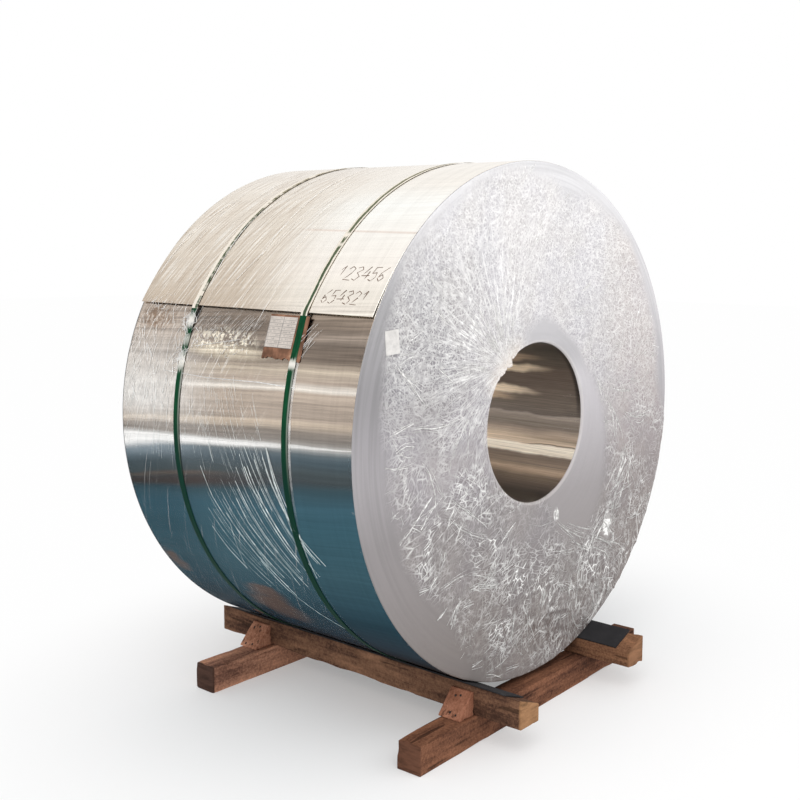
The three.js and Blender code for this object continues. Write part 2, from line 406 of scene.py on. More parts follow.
class Net(Wiring):
    """A material whose nodes are added and wired one by one."""

    family = "ShaderNode"

    def __init__(self, name, **constants):
        self.material = bpy.data.materials.new(name)
        self.material.use_nodes = True
        super().__init__(self.material.node_tree)
        self.shader = self.tree.nodes["Principled BSDF"]
        for socket, value in constants.items():
            self.set(socket.replace("_", " "), value)

    def set(self, socket, value):
        """Gives the surface's shader a constant or a node's output."""
        self.plug(self.shader.inputs[socket], value)

    def point(self, scale=(1, 1, 1)):
        """The place on the piece, in metres, times a scale for each axis."""
        here = self.node("TexCoord", output="Object")
        if scale == (1, 1, 1):
            return here
        return self.vector("MULTIPLY", here, scale)

    def unrolled(self):
        """The place on the piece's skin once it is unrolled flat, in metres: arc and x."""
        return self.split(self.node("UVMap", output="UV", uv_map="unrolled"))[:2]

    def noise(self, point, scale, detail=2.0, roughness=0.5, distortion=0.0, output=0):
        plugs = {"Vector": point, "Scale": scale, "Detail": detail, "Roughness": roughness,
                 "Distortion": distortion}
        return self.node("TexNoise", plugs, output)

    def warp(self, point, scale, amount, detail=2.0):
        """The point, pushed about by noise."""
        push = self.noise(point, scale, detail, output="Color")
        centred = self.vector("SUBTRACT", push, (0.5, 0.5, 0.5))
        return self.vector("MULTIPLY_ADD", centred, (amount, amount, amount), point)

    def range(self, value, low, high, to_low=0.0, to_high=1.0, curve="SMOOTHSTEP"):
        """From to_low where a value is low, up or down to to_high where it is high."""
        plugs = {"Value": value, "From Min": low, "From Max": high, "To Min": to_low,
                 "To Max": to_high}
        return self.node("MapRange", plugs, interpolation_type=curve)

    def mix(self, share, a, b):
        """Between two numbers."""
        return self.node("Mix", {0: share, 2: a, 3: b}, data_type="FLOAT")

    def tint(self, share, a, b, blend="MIX"):
        """Between two colours."""
        return self.node("Mix", {0: share, 6: a, 7: b}, 2, data_type="RGBA", blend_type=blend)

    def shade(self, colour, tone):
        """A colour times a number or another colour."""
        return self.tint(1.0, colour, tone, "MULTIPLY")

    def ramp(self, value, stops):
        """Colours along a value from 0 to 1. stops are (place, colour)."""
        made = self.add("ValToRGB", {"Fac": value})
        marks = made.color_ramp.elements
        for place, colour in stops[2:]:
            marks.new(place)
        for mark, (place, colour) in zip(marks, stops):
            mark.position = place
            mark.color = (*colour, 1.0)
        return Value(self, made.outputs[0])

    def bump(self, height, distance, strength=1.0):
        plugs = {"Height": height, "Distance": distance, "Strength": strength}
        self.set("Normal", self.node("Bump", plugs))

    def done(self, **values):
        """Gives the shader its last values and returns the material."""
        for socket, value in values.items():
            self.set(socket.replace("_", " "), value)
        return self.material


# ---- materials -------------------------------------------------------------------------------
def scaled(colour, factor):
    return tuple(c * factor for c in colour)


def place(net):
    """X, Y and the height over the coil's axis."""
    x, y, z = net.split(net.point())
    return x, y, z - AXIS


def distance(net, y, height):
    """Distance from the coil's axis."""
    return net.vector("LENGTH", net.join(0.0, y, height))


def slope(net, y, height):
    """Degrees over the level of the coil's axis, on either side of it."""
    return net.math("DEGREES", net.math("ARCSINE", height / distance(net, y, height)))


def toward(net, direction, angle, low, high):
    """1 where the direction from the axis is near an angle, 0 away from it."""
    turn = math.radians(angle)
    lean = net.vector("DOT_PRODUCT", direction, (0.0, math.cos(turn), math.sin(turn)))
    return net.range(lean, low, high)


def spot(net, a, b, centre, size, edge):
    """1 inside an oval in two values, 0 outside it."""
    across, up = (a - centre[0]) / size[0], (b - centre[1]) / size[1]
    return net.range(net.vector("LENGTH", net.join(across, up)), 1.0 - edge, 1.0 + edge, 1.0, 0.0)


def level_lines(net, value, level, width):
    """1 where a value passes a level, falling to 0 beside it."""
    return net.range(abs(value - level), 0.0, width, 1.0, 0.0)


def band_ramp(net, value, marks, low, high, exponent=1.0):
    """Colours by degrees, marks being (degrees, colour)."""
    stops = [((degrees - low) / (high - low), tuple(c ** exponent for c in paint(*colour)))
             for degrees, colour in marks]
    return net.ramp(net.range(value, low, high, curve="LINEAR"), stops)


# What the girth mirrors from its foot up to the free edge: degrees over the axis's level, colour.
GIRTH_BANDS = (
    (-90, (40, 36, 34)), (-60, (46, 44, 46)), (-48, (32, 50, 62)), (-39, (30, 58, 70)),
    (-33, (46, 75, 87)), (-25, (58, 88, 99)), (-15, (58, 90, 102)), (-10, (61, 93, 106)),
    (-6.4, (58, 79, 87)), (-5.0, (68, 76, 79)), (-3.4, (72, 81, 84)), (-1.0, (78, 93, 101)),
    (0.4, (105, 115, 120)), (1.3, (202, 200, 196)), (2.3, (140, 134, 128)),
    (4.4, (146, 136, 127)), (5.5, (204, 188, 169)), (6.6, (172, 158, 145)),
    (11.4, (190, 175, 160)), (12.2, (246, 241, 232)), (13.0, (178, 163, 150)),
    (15.5, (200, 186, 168)), (17.2, (130, 117, 106)), (19.8, (118, 106, 96)),
    (21.8, (160, 146, 134)), (24.0, (136, 122, 110)), (26.4, (152, 137, 123)),
)
# The same over the free edge, at the front and where film lies over it.
TOP_CLEAR = ((26, (240, 231, 219)), (31, (241, 234, 223)), (36, (250, 243, 234)),
             (55, (254, 253, 248)), (63, (246, 240, 231)), (90, (242, 234, 222)))
TOP_HAZED = ((26, (200, 184, 167)), (28, (203, 188, 170)), (32, (210, 196, 179)),
             (42, (225, 214, 199)), (60, (233, 223, 209)), (90, (226, 215, 200)))

# Painted reflections of the timber, warm blots low on the girth: (centre, half size), as (x from
# the coil's middle, degrees).
TIMBER_REFLECTIONS = (((-0.05, -39.8), (0.082, 3.0)), ((-0.05, -44.8), (0.115, 4.0)),
              ((-0.45, -36.0), (0.045, 3.0)))

# How strongly the streaks along the strip show, by the degrees that they mirror.
STREAK_DEPTH = ((0.0, 0.08), (0.20, 0.10), (0.26, 0.22), (0.50, 0.22), (0.60, 0.36), (0.72, 0.34),
                (0.80, 0.04))
EDGE_RISE = 180 - TAIL_ANGLE                     # the free edge's degrees over the axis's level


def mirrored_bands(net, out, rise, seen):
    """The girth under the free edge, painted: the bands it mirrors, its glare, thin brown reflected
    bands, a darker low back, brown blotches and warm reflections of the timber.
    """
    bands = band_ramp(net, seen, GIRTH_BANDS, -90.0, 90.0)
    glare = abs(seen - 1.4) / ((0.44 - out) * 1.6 + 0.16)
    glare = net.range(glare, 0.2, 1.3, 1.0, 0.0) * net.range(out, -0.35, 0.35, 0.96, 0.62)
    halo = level_lines(net, seen, -0.3, 2.2) * net.range(out, 0.05, -0.35, 0.0, 0.55)
    bands = net.tint(halo, bands, paint(150, 163, 172))
    bands = net.tint(glare, bands, paint(252, 251, 249))
    # Painted reflection: two thin brown bands that run along the mirrored bands.
    brown_marks = level_lines(net, seen, -5.4, 1.8) * net.range(out, 0.50, -0.20)
    brown = net.tint(net.range(out, -0.1, 0.3), paint(70, 62, 60), paint(64, 66, 70))
    bands = net.tint(brown_marks, bands, brown)
    thin_brown_reflection = level_lines(net, seen, -4.2, 0.6) * net.range(out, 0.15, -0.25)
    bands = net.tint(thin_brown_reflection * 0.8, bands, paint(98, 84, 76))
    # The mirrored bands painted darker and bluer low at the back.
    darker_low_back = net.range(rise, -5.0, -9.0) * net.range(out, -0.05, -0.40)
    bands = net.tint(darker_low_back, bands, net.shade(bands, paint(214, 224, 228)))
    # Brown noise blotches painted low at the back, among the mirrored bands.
    stains = net.range(net.noise(net.point((3.0, 6.0, 6.0)), 1.0, 4.0, 0.6), 0.56, 0.66)
    low_back = net.range(rise, -38.0, -52.0) * net.range(out, 0.1, -0.25)
    bands = net.tint(stains * low_back, bands, paint(128, 98, 82))
    drift = net.noise(net.point((7.0, 16.0, 16.0)), 1.0, 3.0, 0.6)
    moved = (drift - 0.5) * 12.0 + rise
    # Painted reflections of the timber: warm blots low on the girth.
    for centre, size in TIMBER_REFLECTIONS:
        warm = spot(net, out, moved, centre, size, 0.45) * net.range(drift, 0.35, 0.65, 0.85, 0.45)
        bands = net.tint(warm, bands, paint(98, 82, 75))
    return bands


def top_of_girth(net, out, rise, pulled, wrapped):
    """The girth over the free edge, bright at the front and streaked where film lies over it, with
    a beam's painted reflection across it.
    """
    clear = band_ramp(net, rise, TOP_CLEAR, 26.0, 90.0)
    hazed = band_ramp(net, rise, TOP_HAZED, 26.0, 90.0)
    hazed = net.tint(net.range(pulled, 0.52, 0.36, 0.0, 0.6), hazed, paint(186, 168, 149))
    hazed = net.tint(net.range(pulled, 0.52, 0.66, 0.0, 0.65), hazed, paint(251, 247, 240))
    top = net.tint(wrapped, clear, hazed)
    # A thin pinkish line across the top: the painted reflection of a roof beam.
    beam_reflection = level_lines(net, out * 2.0 + rise, 46.9, 0.5) * net.range(out, 0.02, 0.1)
    return net.tint(beam_reflection * 0.55, top, paint(222, 200, 186))


def veiled(net, bands, x, out, rise, pulled, wrapped, milky):
    """The same bands under crumpled film: milky toward the back, with blots and scratches, and
    under the free edge a darker band and painted highlights, a cream band and glints.
    """
    crumple = net.noise(net.point((70.0, 60.0, 60.0)), 1.0, 3.0, 0.6, 0.5)
    veil = net.tint(net.range(rise, 5.0, 25.0), paint(236, 233, 229), paint(190, 176, 163))
    drawn_down = net.noise(net.join(x * 60.0, rise * 0.35, 2.0), 1.0, 3.0, 0.6)
    mottle = net.range(crumple, 0.3, 0.7, 0.88, 1.06) * net.range(drawn_down, 0.3, 0.7, 0.84, 1.08)
    veil = net.shade(veil, mottle)
    blots = spot(net, out, rise, (-0.40, 23.6), (0.075, 2.6), 0.5) * net.range(crumple, 0.64, 0.46)
    veil = net.tint(blots * 0.9, veil, paint(136, 112, 92))
    bands = net.tint(milky * 0.92, bands, veil)
    scratch = net.range(pulled, 0.56, 0.68) * wrapped * net.range(rise, -6.0, 4.0)
    bands = net.tint(scratch * 0.55, bands, paint(244, 240, 234))
    # A darker brownish band painted just under the free edge.
    dark_under_edge = spot(net, out, rise, (-0.05, 23.4), (0.20, 3.4), 0.35) * 0.7
    bands = net.tint(dark_under_edge, bands, net.tint(pulled, paint(98, 88, 80), paint(144, 130, 118)))
    # Painted highlights under the free edge: a cream band of reflection, and glints beside it.
    cream_reflection = spot(net, out, rise, (-0.04, 17.4), (0.17, 1.5), 0.5) * 0.7
    bands = net.tint(cream_reflection, bands, net.tint(crumple, paint(200, 182, 160), paint(246, 236, 214)))
    glints = spot(net, out, rise, (-0.06, 19.6), (0.13, 2.4), 0.45) * net.range(crumple, 0.48, 0.60)
    return net.tint(glints * 0.85, bands, paint(252, 243, 224))


def girth_metal(look):
    """Bright rolled strip: bands of what it mirrors, drawn out along it, and fine rolling lines."""
    net = Net("girth_metal", Roughness=look.roughness, Specular_IOR_Level=0.0)
    x, y, height = place(net)
    out, rise = x - MIDDLE, slope(net, y, height)
    ripple = net.noise(net.join(x, height * 0.4), 2.2, 3.0, 0.6)
    lean = net.range(rise, -12.0, -3.0, 8.9, 5.0, "LINEAR")
    lean = lean + net.range(rise, 0.0, 12.0, 0.0, -2.0, "LINEAR")
    seen = (0.44 - out) * lean + ((ripple - 0.5) * 1.4 + rise)

    slide = net.maximum(rise * -0.0141 + 1.128, 0.0)
    across = slide * slide * 0.25 + x
    pulled = net.noise(net.join(across * 120.0, slide * 7.0), 1.0, 3.0, 0.65)
    wrapped = net.range(out, -0.10, 0.27, 1.0, 0.0)
    milky = net.range(out, 0.02, -0.38) * net.range(rise, -2.0, 6.0)
    bands = mirrored_bands(net, out, rise, seen)
    bands = veiled(net, bands, x, out, rise, pulled, wrapped, milky)
    top = top_of_girth(net, out, rise, pulled, wrapped)
    near = net.tint(net.range(rise, EDGE_RISE - 0.2, EDGE_RISE + 0.1), bands, top)
    # Painted reflection on the far side: the floor's teal low down, the sky's cream at the top.
    far = net.ramp(net.range(rise, -90.0, 90.0, curve="LINEAR"),
                   [(0.0, look.foot_reflection), (0.30, look.foot_reflection), (0.46, paint(66, 96, 108)),
                    (0.52, paint(150, 150, 148)), (0.60, paint(190, 176, 160)), (0.74, look.cream_reflection),
                    (1.0, look.cream_reflection)])
    colour = net.tint(net.range(y, -0.1, 0.25), near, far)

    axial = net.noise(net.join(out * 1.5, seen * 1.3), 1.0, 4.0, 0.68)
    depth = net.ramp(net.range(seen, -10.0, 40.0, curve="LINEAR"),
                     [(share, (grey, grey, grey)) for share, grey in STREAK_DEPTH])
    calm = milky * net.range(rise, EDGE_RISE - 0.2, 9.0) * -0.92 + 1.0
    rolled = net.noise(net.point((420.0, 2.0, 2.0)), 1.0, 3.0, 0.7)
    broad = net.noise(net.point((38.0, 1.2, 1.2)), 1.0, 2.0)
    tone = net.range(rolled, 0.3, 0.7, 0.96, 1.03) + net.range(broad, 0.3, 0.7, -0.03, 0.03)
    tone = tone + net.range(axial, 0.3, 0.7, -1.0, 1.0) * depth * calm
    net.bump(rolled, 0.0003, 0.2)
    metallic = net.range(rise, -15.0, 0.0, 0.12, 1.0)
    return net.done(Metallic=metallic, Base_Color=net.shade(colour, tone))


# What the bore mirrors on its far side, in the same form as the girth's bands.
BORE_BANDS = (
    (-90, (34, 30, 28)), (-74, (46, 41, 37)), (-66, (78, 68, 61)), (-56, (112, 97, 84)),
    (-50, (190, 164, 139)), (-45, (140, 122, 106)), (-37, (124, 108, 95)),
    (-35, (252, 238, 216)), (-29, (254, 242, 223)), (-27.3, (216, 193, 167)),
    (-22, (200, 177, 154)), (-18.5, (150, 134, 119)), (-14, (116, 105, 95)),
    (-8, (128, 117, 107)), (-5, (148, 137, 126)), (-3.5, (92, 83, 76)), (3, (100, 89, 80)),
    (14, (98, 86, 77)), (30, (104, 90, 80)), (40, (80, 72, 64)), (60, (58, 53, 48)),
    (90, (46, 42, 39)),
)
# Paler and darker patches between them: (centre, half size, colour), as (x, degrees).
BORE_PATCHES = (((0.10, 33.5), (0.22, 4.5), (232, 212, 184)),
                ((0.12, 45.0), (0.20, 5.0), (158, 138, 118)),
                ((0.02, 12.5), (0.22, 4.0), (236, 216, 190)),
                ((-0.02, 6.0), (0.17, 3.5), (180, 158, 134)))


def bore_metal():
    """The innermost turn: its far side mirrors the mouth in bands, its near side is plain."""
    net = Net("bore_metal", Metallic=0.45, Roughness=0.32)
    x, y, height = place(net)
    rise = slope(net, y, height)
    ripple = net.noise(net.join(x, height), 5.0, 3.0, 0.6) - 0.5
    wavy = ripple * 6.0 + rise
    torn = ripple * 12.0 + rise
    bands = band_ramp(net, wavy, BORE_BANDS, -90.0, 90.0, 0.9)
    for centre, size, colour in BORE_PATCHES:
        bands = net.tint(spot(net, x, torn, centre, size, 0.35), bands, paint(*colour))
    # Painted shade in the mirrored bands: darker bands toward the mouth, a dark slit line, and a
    # dark rim just inside the mouth.
    narrowed = net.range(x, 0.16, 0.40) * level_lines(net, wavy, -23.0, 4.5)
    slit = net.range(x, 0.22, 0.30) * level_lines(net, wavy, -27.6, 0.9)
    mouth = net.range(x, 0.434, 0.448) * net.range(rise, -8.0, 12.0)
    for share, colour in ((narrowed * 0.6, paint(124, 110, 97)), (slit * 0.8, paint(70, 60, 52)),
                          (mouth * 0.8, paint(48, 43, 40))):
        bands = net.tint(share, bands, colour)
    streak = net.noise(net.join(x * 1.6, rise * 1.1, y), 1.0, 4.0, 0.7)
    fine = net.noise(net.join(x * 9.0, rise * 2.6, y), 1.0, 3.0, 0.7)
    tone = net.range(streak, 0.3, 0.72, 0.78, 1.16) * net.range(fine, 0.35, 0.65, 0.84, 1.10)
    near = net.shade(paint(240, 234, 226), tone * 0.9)
    net.bump(streak, 0.0006, 0.2)
    return net.done(Base_Color=net.tint(net.range(y, -0.15, -0.09), near, net.shade(bands, tone)))


def marker_ink(look):
    """Dry marker strokes, thin where the tip ran dry."""
    net = Net("marker_ink", Roughness=0.6, Specular_IOR_Level=0.1)
    dry = net.range(net.noise(net.point(), 90.0, 3.0), 0.3, 0.7)
    return net.done(Base_Color=net.tint(dry, look.ink, scaled(look.ink, 1.5)))


def turn_ends():
    """The strip's edges side by side, as fine rings round the bore."""
    net = Net("turn_ends", Metallic=1.0, Roughness=0.42)
    unused, y, height = place(net)
    radius = distance(net, y, height)
    rings = net.math("SINE", radius * (2 * math.pi / RING_STEP))
    slip = net.noise(net.join(radius * 90.0), 1.0, 3.0)
    shade = net.range(rings * 0.25 + slip, 0.2, 0.9)
    net.bump(rings, 0.0005, 0.5)
    stops = [(0.0, paint(96, 94, 92)), (1.0, paint(196, 194, 190))]
    return net.done(Base_Color=net.ramp(shade, stops))


def disc_board(look):
    """Matt grey board, painted lighter towards its top where more light falls."""
    net = Net("disc_board", Roughness=0.75)
    # Painted light: lighter towards the top of the end, darker towards its foot.
    lift = net.range(place(net)[2], -0.75, 0.75, 0.86, 1.10, "LINEAR")
    mottle = net.noise(net.point(), 9.0, 5.0, 0.6)
    net.bump(mottle, 0.001, 0.15)
    return net.done(Base_Color=net.shade(look.disc, lift * net.range(mottle, 0.3, 0.7, 0.95, 1.05)))


# ---- the film on the ends --------------------------------------------------------------------
# Places on an end are (y, height over the axis). The film is bunched over the bore's mouth here.
BUNCH = (-0.17, 0.20)
BUNCH_ANGLES = {1: 130, -1: 60}                  # round the mouth, at the front and at the back
STICKER_PLACE = (-0.661, 0.2945)

# How far out the film is crinkled, and how much farther toward some angles: (angle, the cosines of
# the turn away from it where that starts and is full, how much).
CRINKLE_REACH = 0.735
FARTHER = ((300, 0.35, 0.75, 0.10), (120, 0.72, 0.95, 0.065), (208, 0.6, 1.0, -0.055),
           (35, 0.5, 0.95, 0.04))

# Where the film lies smooth beside the bore: an oval's (centre, half size), and the part that
# lies toward an angle, between two distances from the axis.
SMOOTH_AREA = ((0.22, -0.13), (0.185, 0.30))
BESIDE_BORE = ((62, 0.60, 0.85), (0.345, 0.305))

# Where a flap of film catches the light: (centre, half size).
BRIGHT_FLAPS = (((0.420, -0.410), (0.028, 0.050)), ((0.11, -0.315), (0.014, 0.022)))


def facets(net, point, scale, spread, across, along):
    """Creases drawn out inside facets, each at its own slant, and the facets' tone."""
    unused, y, z = net.split(point)
    cell = net.add("TexVoronoi", {"Vector": net.join(y, z), "Scale": scale},
                   voronoi_dimensions="2D")
    chance = net.split(cell.outputs["Color"])
    cell_y, cell_z, unused = net.split(cell.outputs["Position"])
    from_bunch = net.join(0.0, cell_y - BUNCH[0], cell_z - (AXIS + BUNCH[1]))
    drape = net.join(0.0, net.range(cell_z, AXIS - 0.25, AXIS + 0.05, -0.95, 0.0))
    draped = net.vector("NORMALIZE", net.vector("ADD", net.vector("NORMALIZE", from_bunch), drape))
    unused, out_y, out_z = net.split(draped)
    slack = net.range(cell_z, AXIS - 0.2, AXIS + 0.1, 0.8, 1.0)
    turn = (chance[0] - 0.5) * (2.0 * spread) * slack
    cosine, sine = net.math("COSINE", turn), net.math("SINE", turn)
    along_y = cosine * out_y - sine * out_z
    along_z = sine * out_y + cosine * out_z
    u = y * along_y + z * along_z
    v = z * along_y - y * along_z
    drawn = net.join(u * along + chance[1] * 40.0, v * across)
    folds = net.node("TexVoronoi", {"Vector": drawn, "Scale": 1.0}, "Distance",
                     voronoi_dimensions="2D", feature="DISTANCE_TO_EDGE")
    return FOLD_LEVEL - folds, chance[2]


def crinkled_share(net, y, height, radius, direction, drift):
    """1 where the film over an end is crinkled, 0 where it lies smooth."""
    ragged = drift * 0.12 + (radius - 0.06)
    reach = CRINKLE_REACH
    for angle, low, high, more in FARTHER:
        reach = toward(net, direction, angle, low, high) * more + reach
    crinkled = net.range(ragged - reach, -0.05, 0.02, 1.0, 0.0)
    way, distances = BESIDE_BORE
    beside = toward(net, direction, *way) * net.range(ragged, *distances)
    strayed = drift * 0.10 + (y - 0.05)
    beside = net.maximum(beside, spot(net, strayed, height, *SMOOTH_AREA, 0.16))
    return crinkled * (1.0 - beside)


def crease_layers(net, y, height, upper, patches):
    """Kinds of crease as (value, width, share), which run where the value is at FOLD_LEVEL.

    Gives also the curls and the tone of the facets between the creases."""
    point = net.point()
    from_bunch = net.join(0.0, y - BUNCH[0], height - BUNCH[1])
    away, ray = net.vector("LENGTH", from_bunch), net.vector("NORMALIZE", from_bunch)
    unused, ray_y, ray_z = net.split(ray)
    rays = net.noise(net.join(ray_y * 15.0, ray_z * 15.0, away * 5.0), 1.0, 2.0, 0.6)
    fan = net.range(net.vector("DOT_PRODUCT", ray, (0.0, -0.93, 0.37)), -0.45, 0.25)
    curled = net.warp(point, 24.0, 0.022, 1.0)
    curls = net.noise(curled, 46.0, 1.0)
    grain = net.noise(net.warp(point, 60.0, 0.008, 1.0), 88.0, 2.0, 0.6)
    wide, wide_tone = facets(net, net.warp(point, 9.0, 0.035), 7.5, 0.9, 38.0, 10.0)
    small, small_tone = facets(net, curled, 13.0, 1.5, 62.0, 22.0)
    tone = (net.range(wide_tone, 0.0, 1.0, -0.045, 0.035, "LINEAR")
            + net.range(small_tone, 0.0, 1.0, 0.95, 1.02, "LINEAR"))
    wide_share = net.mix(upper, net.range(patches[0], 0.40, 0.55, 1.0, 0.45),
                         net.range(patches[1], 0.40, 0.55, 0.15, 0.7))
    layers = ((wide, 0.080, wide_share),
              (small, 0.110, net.mix(upper, net.range(patches[2], 0.40, 0.55, 0.4, 1.0), 0.55)),
              (curls, 0.050, net.mix(upper, net.range(patches[1], 0.45, 0.60, 0.75, 0.3), 0.45)),
              (grain, 0.070, net.mix(upper, 0.35, 0.75)),
              (rays, 0.055, fan * net.range(away, 0.60, 0.18)))
    return layers, curls, tone * net.mix(upper, 0.96, 0.905)


def crease_lines(net, layers, upper, crinkled):
    """Where the creases shine, and where they lie in their own shade."""
    point = net.point()
    bright = dark = 0.0
    for value, width, share in layers:
        bright = net.maximum(bright, level_lines(net, value, FOLD_LEVEL, width) * share)
        hollow = level_lines(net, value, FOLD_LEVEL - 1.8 * width, width)
        dark = net.maximum(dark, hollow * share)
    clusters = net.range(net.noise(point, 7.5), 0.40, 0.60, 0.30, 1.0)
    breaks = net.mix(upper, net.range(net.noise(point, 34.0, 1.0), 0.38, 0.54, 0.32, 1.0),
                     net.range(net.noise(point, 52.0, 1.0), 0.38, 0.54, 0.60, 1.0))
    strength = net.mix(upper, clusters, 0.95) * crinkled
    return bright * strength * breaks, dark * strength


# The film's grey from the foot of an end to its top, as light reaches it.
FACE_LIFT = ((0.0, paint(119, 110, 107)), (0.12, paint(129, 121, 118)),
             (0.35, paint(151, 146, 147)), (0.52, paint(188, 184, 188)),
             (0.72, paint(215, 213, 216)), (1.0, paint(231, 230, 232)))


def film_ground(net, y, height, radius, direction, crinkled, upper, violet, facet_tone):
    """An end's grey between the creases: facets where it is crinkled, faint hoops elsewhere."""
    lift = net.ramp(net.range(height, -0.81, 0.81, curve="LINEAR"), FACE_LIFT)
    dim = net.range(abs(height - 0.27), 0.08, 0.40, 1.0, 0.0) * net.range(y, -0.12, -0.55)
    lift = net.shade(lift, net.range(dim, 0.0, 1.0, 1.0, 0.58, "LINEAR"))
    warm = net.range(y, 0.30, 0.6, 0.0, 0.6) * crinkled
    lift = net.tint(warm, lift, net.shade(lift, paint(250, 238, 230)))
    hue = net.tint(net.range(violet, 0.35, 0.65), paint(255, 252, 249), paint(252, 251, 254))
    lift = net.tint(crinkled * 0.8, lift, net.shade(lift, hue))
    rim = net.range(height, 0.1, 0.6, 0.88, 1.0) + net.range(height, -0.12, -0.4, 0.0, 0.08)
    rim = rim * net.range(radius, 0.32, 0.42, 0.94, 1.0)
    plain = net.mix(spot(net, y, height, *SMOOTH_AREA, 0.2), rim, 1.11)
    ground = net.shade(lift, net.mix(crinkled, plain, facet_tone))
    bunch = toward(net, direction, 132.0, 0.88, 0.98) * net.range(radius, 0.25, 0.32, 1.0, 0.0)
    ground = net.tint(bunch, ground, paint(226, 216, 206))
    shaded = net.shade(ground, net.tint(upper, paint(202, 196, 197), paint(232, 229, 231)))
    unused, out_y, out_z = net.split(direction)
    around = net.noise(net.join(out_y * 1.6, out_z * 1.6, radius * 70.0), 1.0, 2.0, 0.6)
    hoop = (1.0 - crinkled) * net.range(height, -0.6, 0.3, 0.35, 1.0)
    hoop = hoop * net.range(radius, 0.5, 0.7, 0.25, 1.0)
    ground = net.shade(ground, net.mix(hoop, 1.0, net.range(around, 0.35, 0.65, 0.88, 1.06)))
    ground = net.tint(net.range(radius, 0.2635, 0.2585) * 0.3, ground, paint(226, 220, 216))
    return ground, shaded


def face_film(look):
    """Crinkled clear film on an end: white along its creases, clear between them."""
    net = Net("face_film", Roughness=0.22)
    unused, y, height = place(net)
    radius = distance(net, y, height)
    direction = net.vector("NORMALIZE", net.join(0.0, y, height))
    patches = net.split(net.noise(net.point(), 5.5, output="Color"))
    upper = net.range(height, -0.15, 0.25)
    crinkled = crinkled_share(net, y, height, radius, direction, patches[0])
    layers, curls, facet_tone = crease_layers(net, y, height, upper, patches)
    bright, dark = crease_lines(net, layers, upper, crinkled)
    flaps = 0.0
    for centre, size in BRIGHT_FLAPS:
        flap = spot(net, y, height, centre, size, 0.3) * net.range(curls, 0.44, 0.54, 0.35, 1.0)
        bright, flaps = net.maximum(bright, flap), net.maximum(flaps, flap)
    glint = net.range(bright, 0.72, 0.9) * net.range(patches[1], 0.44, 0.58)
    glint = net.maximum(glint, flaps * 0.8)
    ground, shaded = film_ground(net, y, height, radius, direction, crinkled, upper, patches[2],
                                 facet_tone)
    # Painted shade: the creases' white dims towards the foot of the end, where less light falls.
    white = net.ramp(net.range(height, 0.6, -0.75, curve="LINEAR"),
                     [(0.0, look.crease), (0.42, scaled(look.crease, 0.84)),
                      (1.0, scaled(look.crease, 0.52))])
    white = net.tint(glint, white, look.crease)
    net.bump(curls, 0.003, 0.4)
    return net.done(Base_Color=net.tint(bright, net.tint(dark, ground, shaded), white),
                    Alpha=bright * 0.15 + 0.85)


def clear_film(look):
    """The film's inner side and its lip in the bore, nearly clear."""
    net = Net("clear_film", Base_Color=look.crease, Roughness=0.12)
    streaks = net.noise(net.point((8.0, 90.0, 90.0)), 1.0)
    return net.done(Alpha=net.range(streaks, 0.62, 0.8, 0.0, 0.05))


def girth_film(look):
    """Clear film round the girth, drawn tight, with fine lines in it and a folded front edge."""
    net = Net("girth_film", Base_Color=look.crease, Roughness=0.16)
    arc, x = net.unrolled()
    slanted = arc * 0.42 + x
    lines = net.noise(net.join(arc * 2.4, slanted * 150.0, 4.0), 1.0, 2.0, 0.6)
    lines = net.range(lines, 0.62, 0.72)
    lower = net.range(arc, 0.36, 0.5) * net.range(arc, 1.1, 0.8)
    hem = net.range(x, MIDDLE + 0.259, MIDDLE + 0.263) * net.range(arc, 0.62, 0.40)
    doubled = level_lines(net, arc, 0.27, 0.12) * 1.6 + 1.0
    hem = hem * doubled * net.range(arc, -0.02, 0.08, 0.1, 1.0)
    uneven = net.range(net.noise(net.join(arc * 9.0), 1.0, 3.0), 0.35, 0.65, 0.1, 1.0)
    return net.done(Alpha=lines * lower * 0.14 + hem * uneven * 0.22 + 0.004)


def fold_film(look, name, thinnest, metallic, low):
    """Film pinched into a ridge, which reads white, with painted shade: it turns to the low colour
    towards the foot of the coil.
    """
    net = Net(name, Metallic=metallic, Roughness=0.35)
    faint = net.range(net.noise(net.point(), 23.0), 0.42, 0.55, 0.5, 1.0)
    thick = net.range(net.noise(net.point(), 60.0, 3.0), 0.35, 0.6, thinnest, 0.97)
    # Painted shade: white high up, the low colour towards the foot.
    white = net.tint(net.range(place(net)[2], 0.25, -0.6), look.crease, low)
    return net.done(Base_Color=white, Alpha=thick * faint)


# ---- straps, card, labels and timber ---------------------------------------------------------
# How glare washes each strap out over the top, painted into its colour: the side it lies toward,
# where across the strap it starts and is full, how much green it hides, how much of the strap is
# washed out under it, the strap's colour there, and film stuck over it, white partly with painted
# glare, as (arc, half length, how much green it hides).
STRAP_GLARE = {
    "front": (-0.15, (0.79, 0.95), 0.90, 0.0, paint(122, 120, 94),
              ((0.145, 0.024, 0.9), (ONCE_ROUND - 0.262, 0.020, 1.0),
               (ONCE_ROUND - 0.225, 0.012, 0.8))),
    "back": (-0.62, (0.76, 0.92), 0.96, 0.95, paint(150, 138, 112),
             ((0.048, 0.034, 0.95), (0.105, 0.03, 0.45), (0.17, 0.045, 0.9))),
}


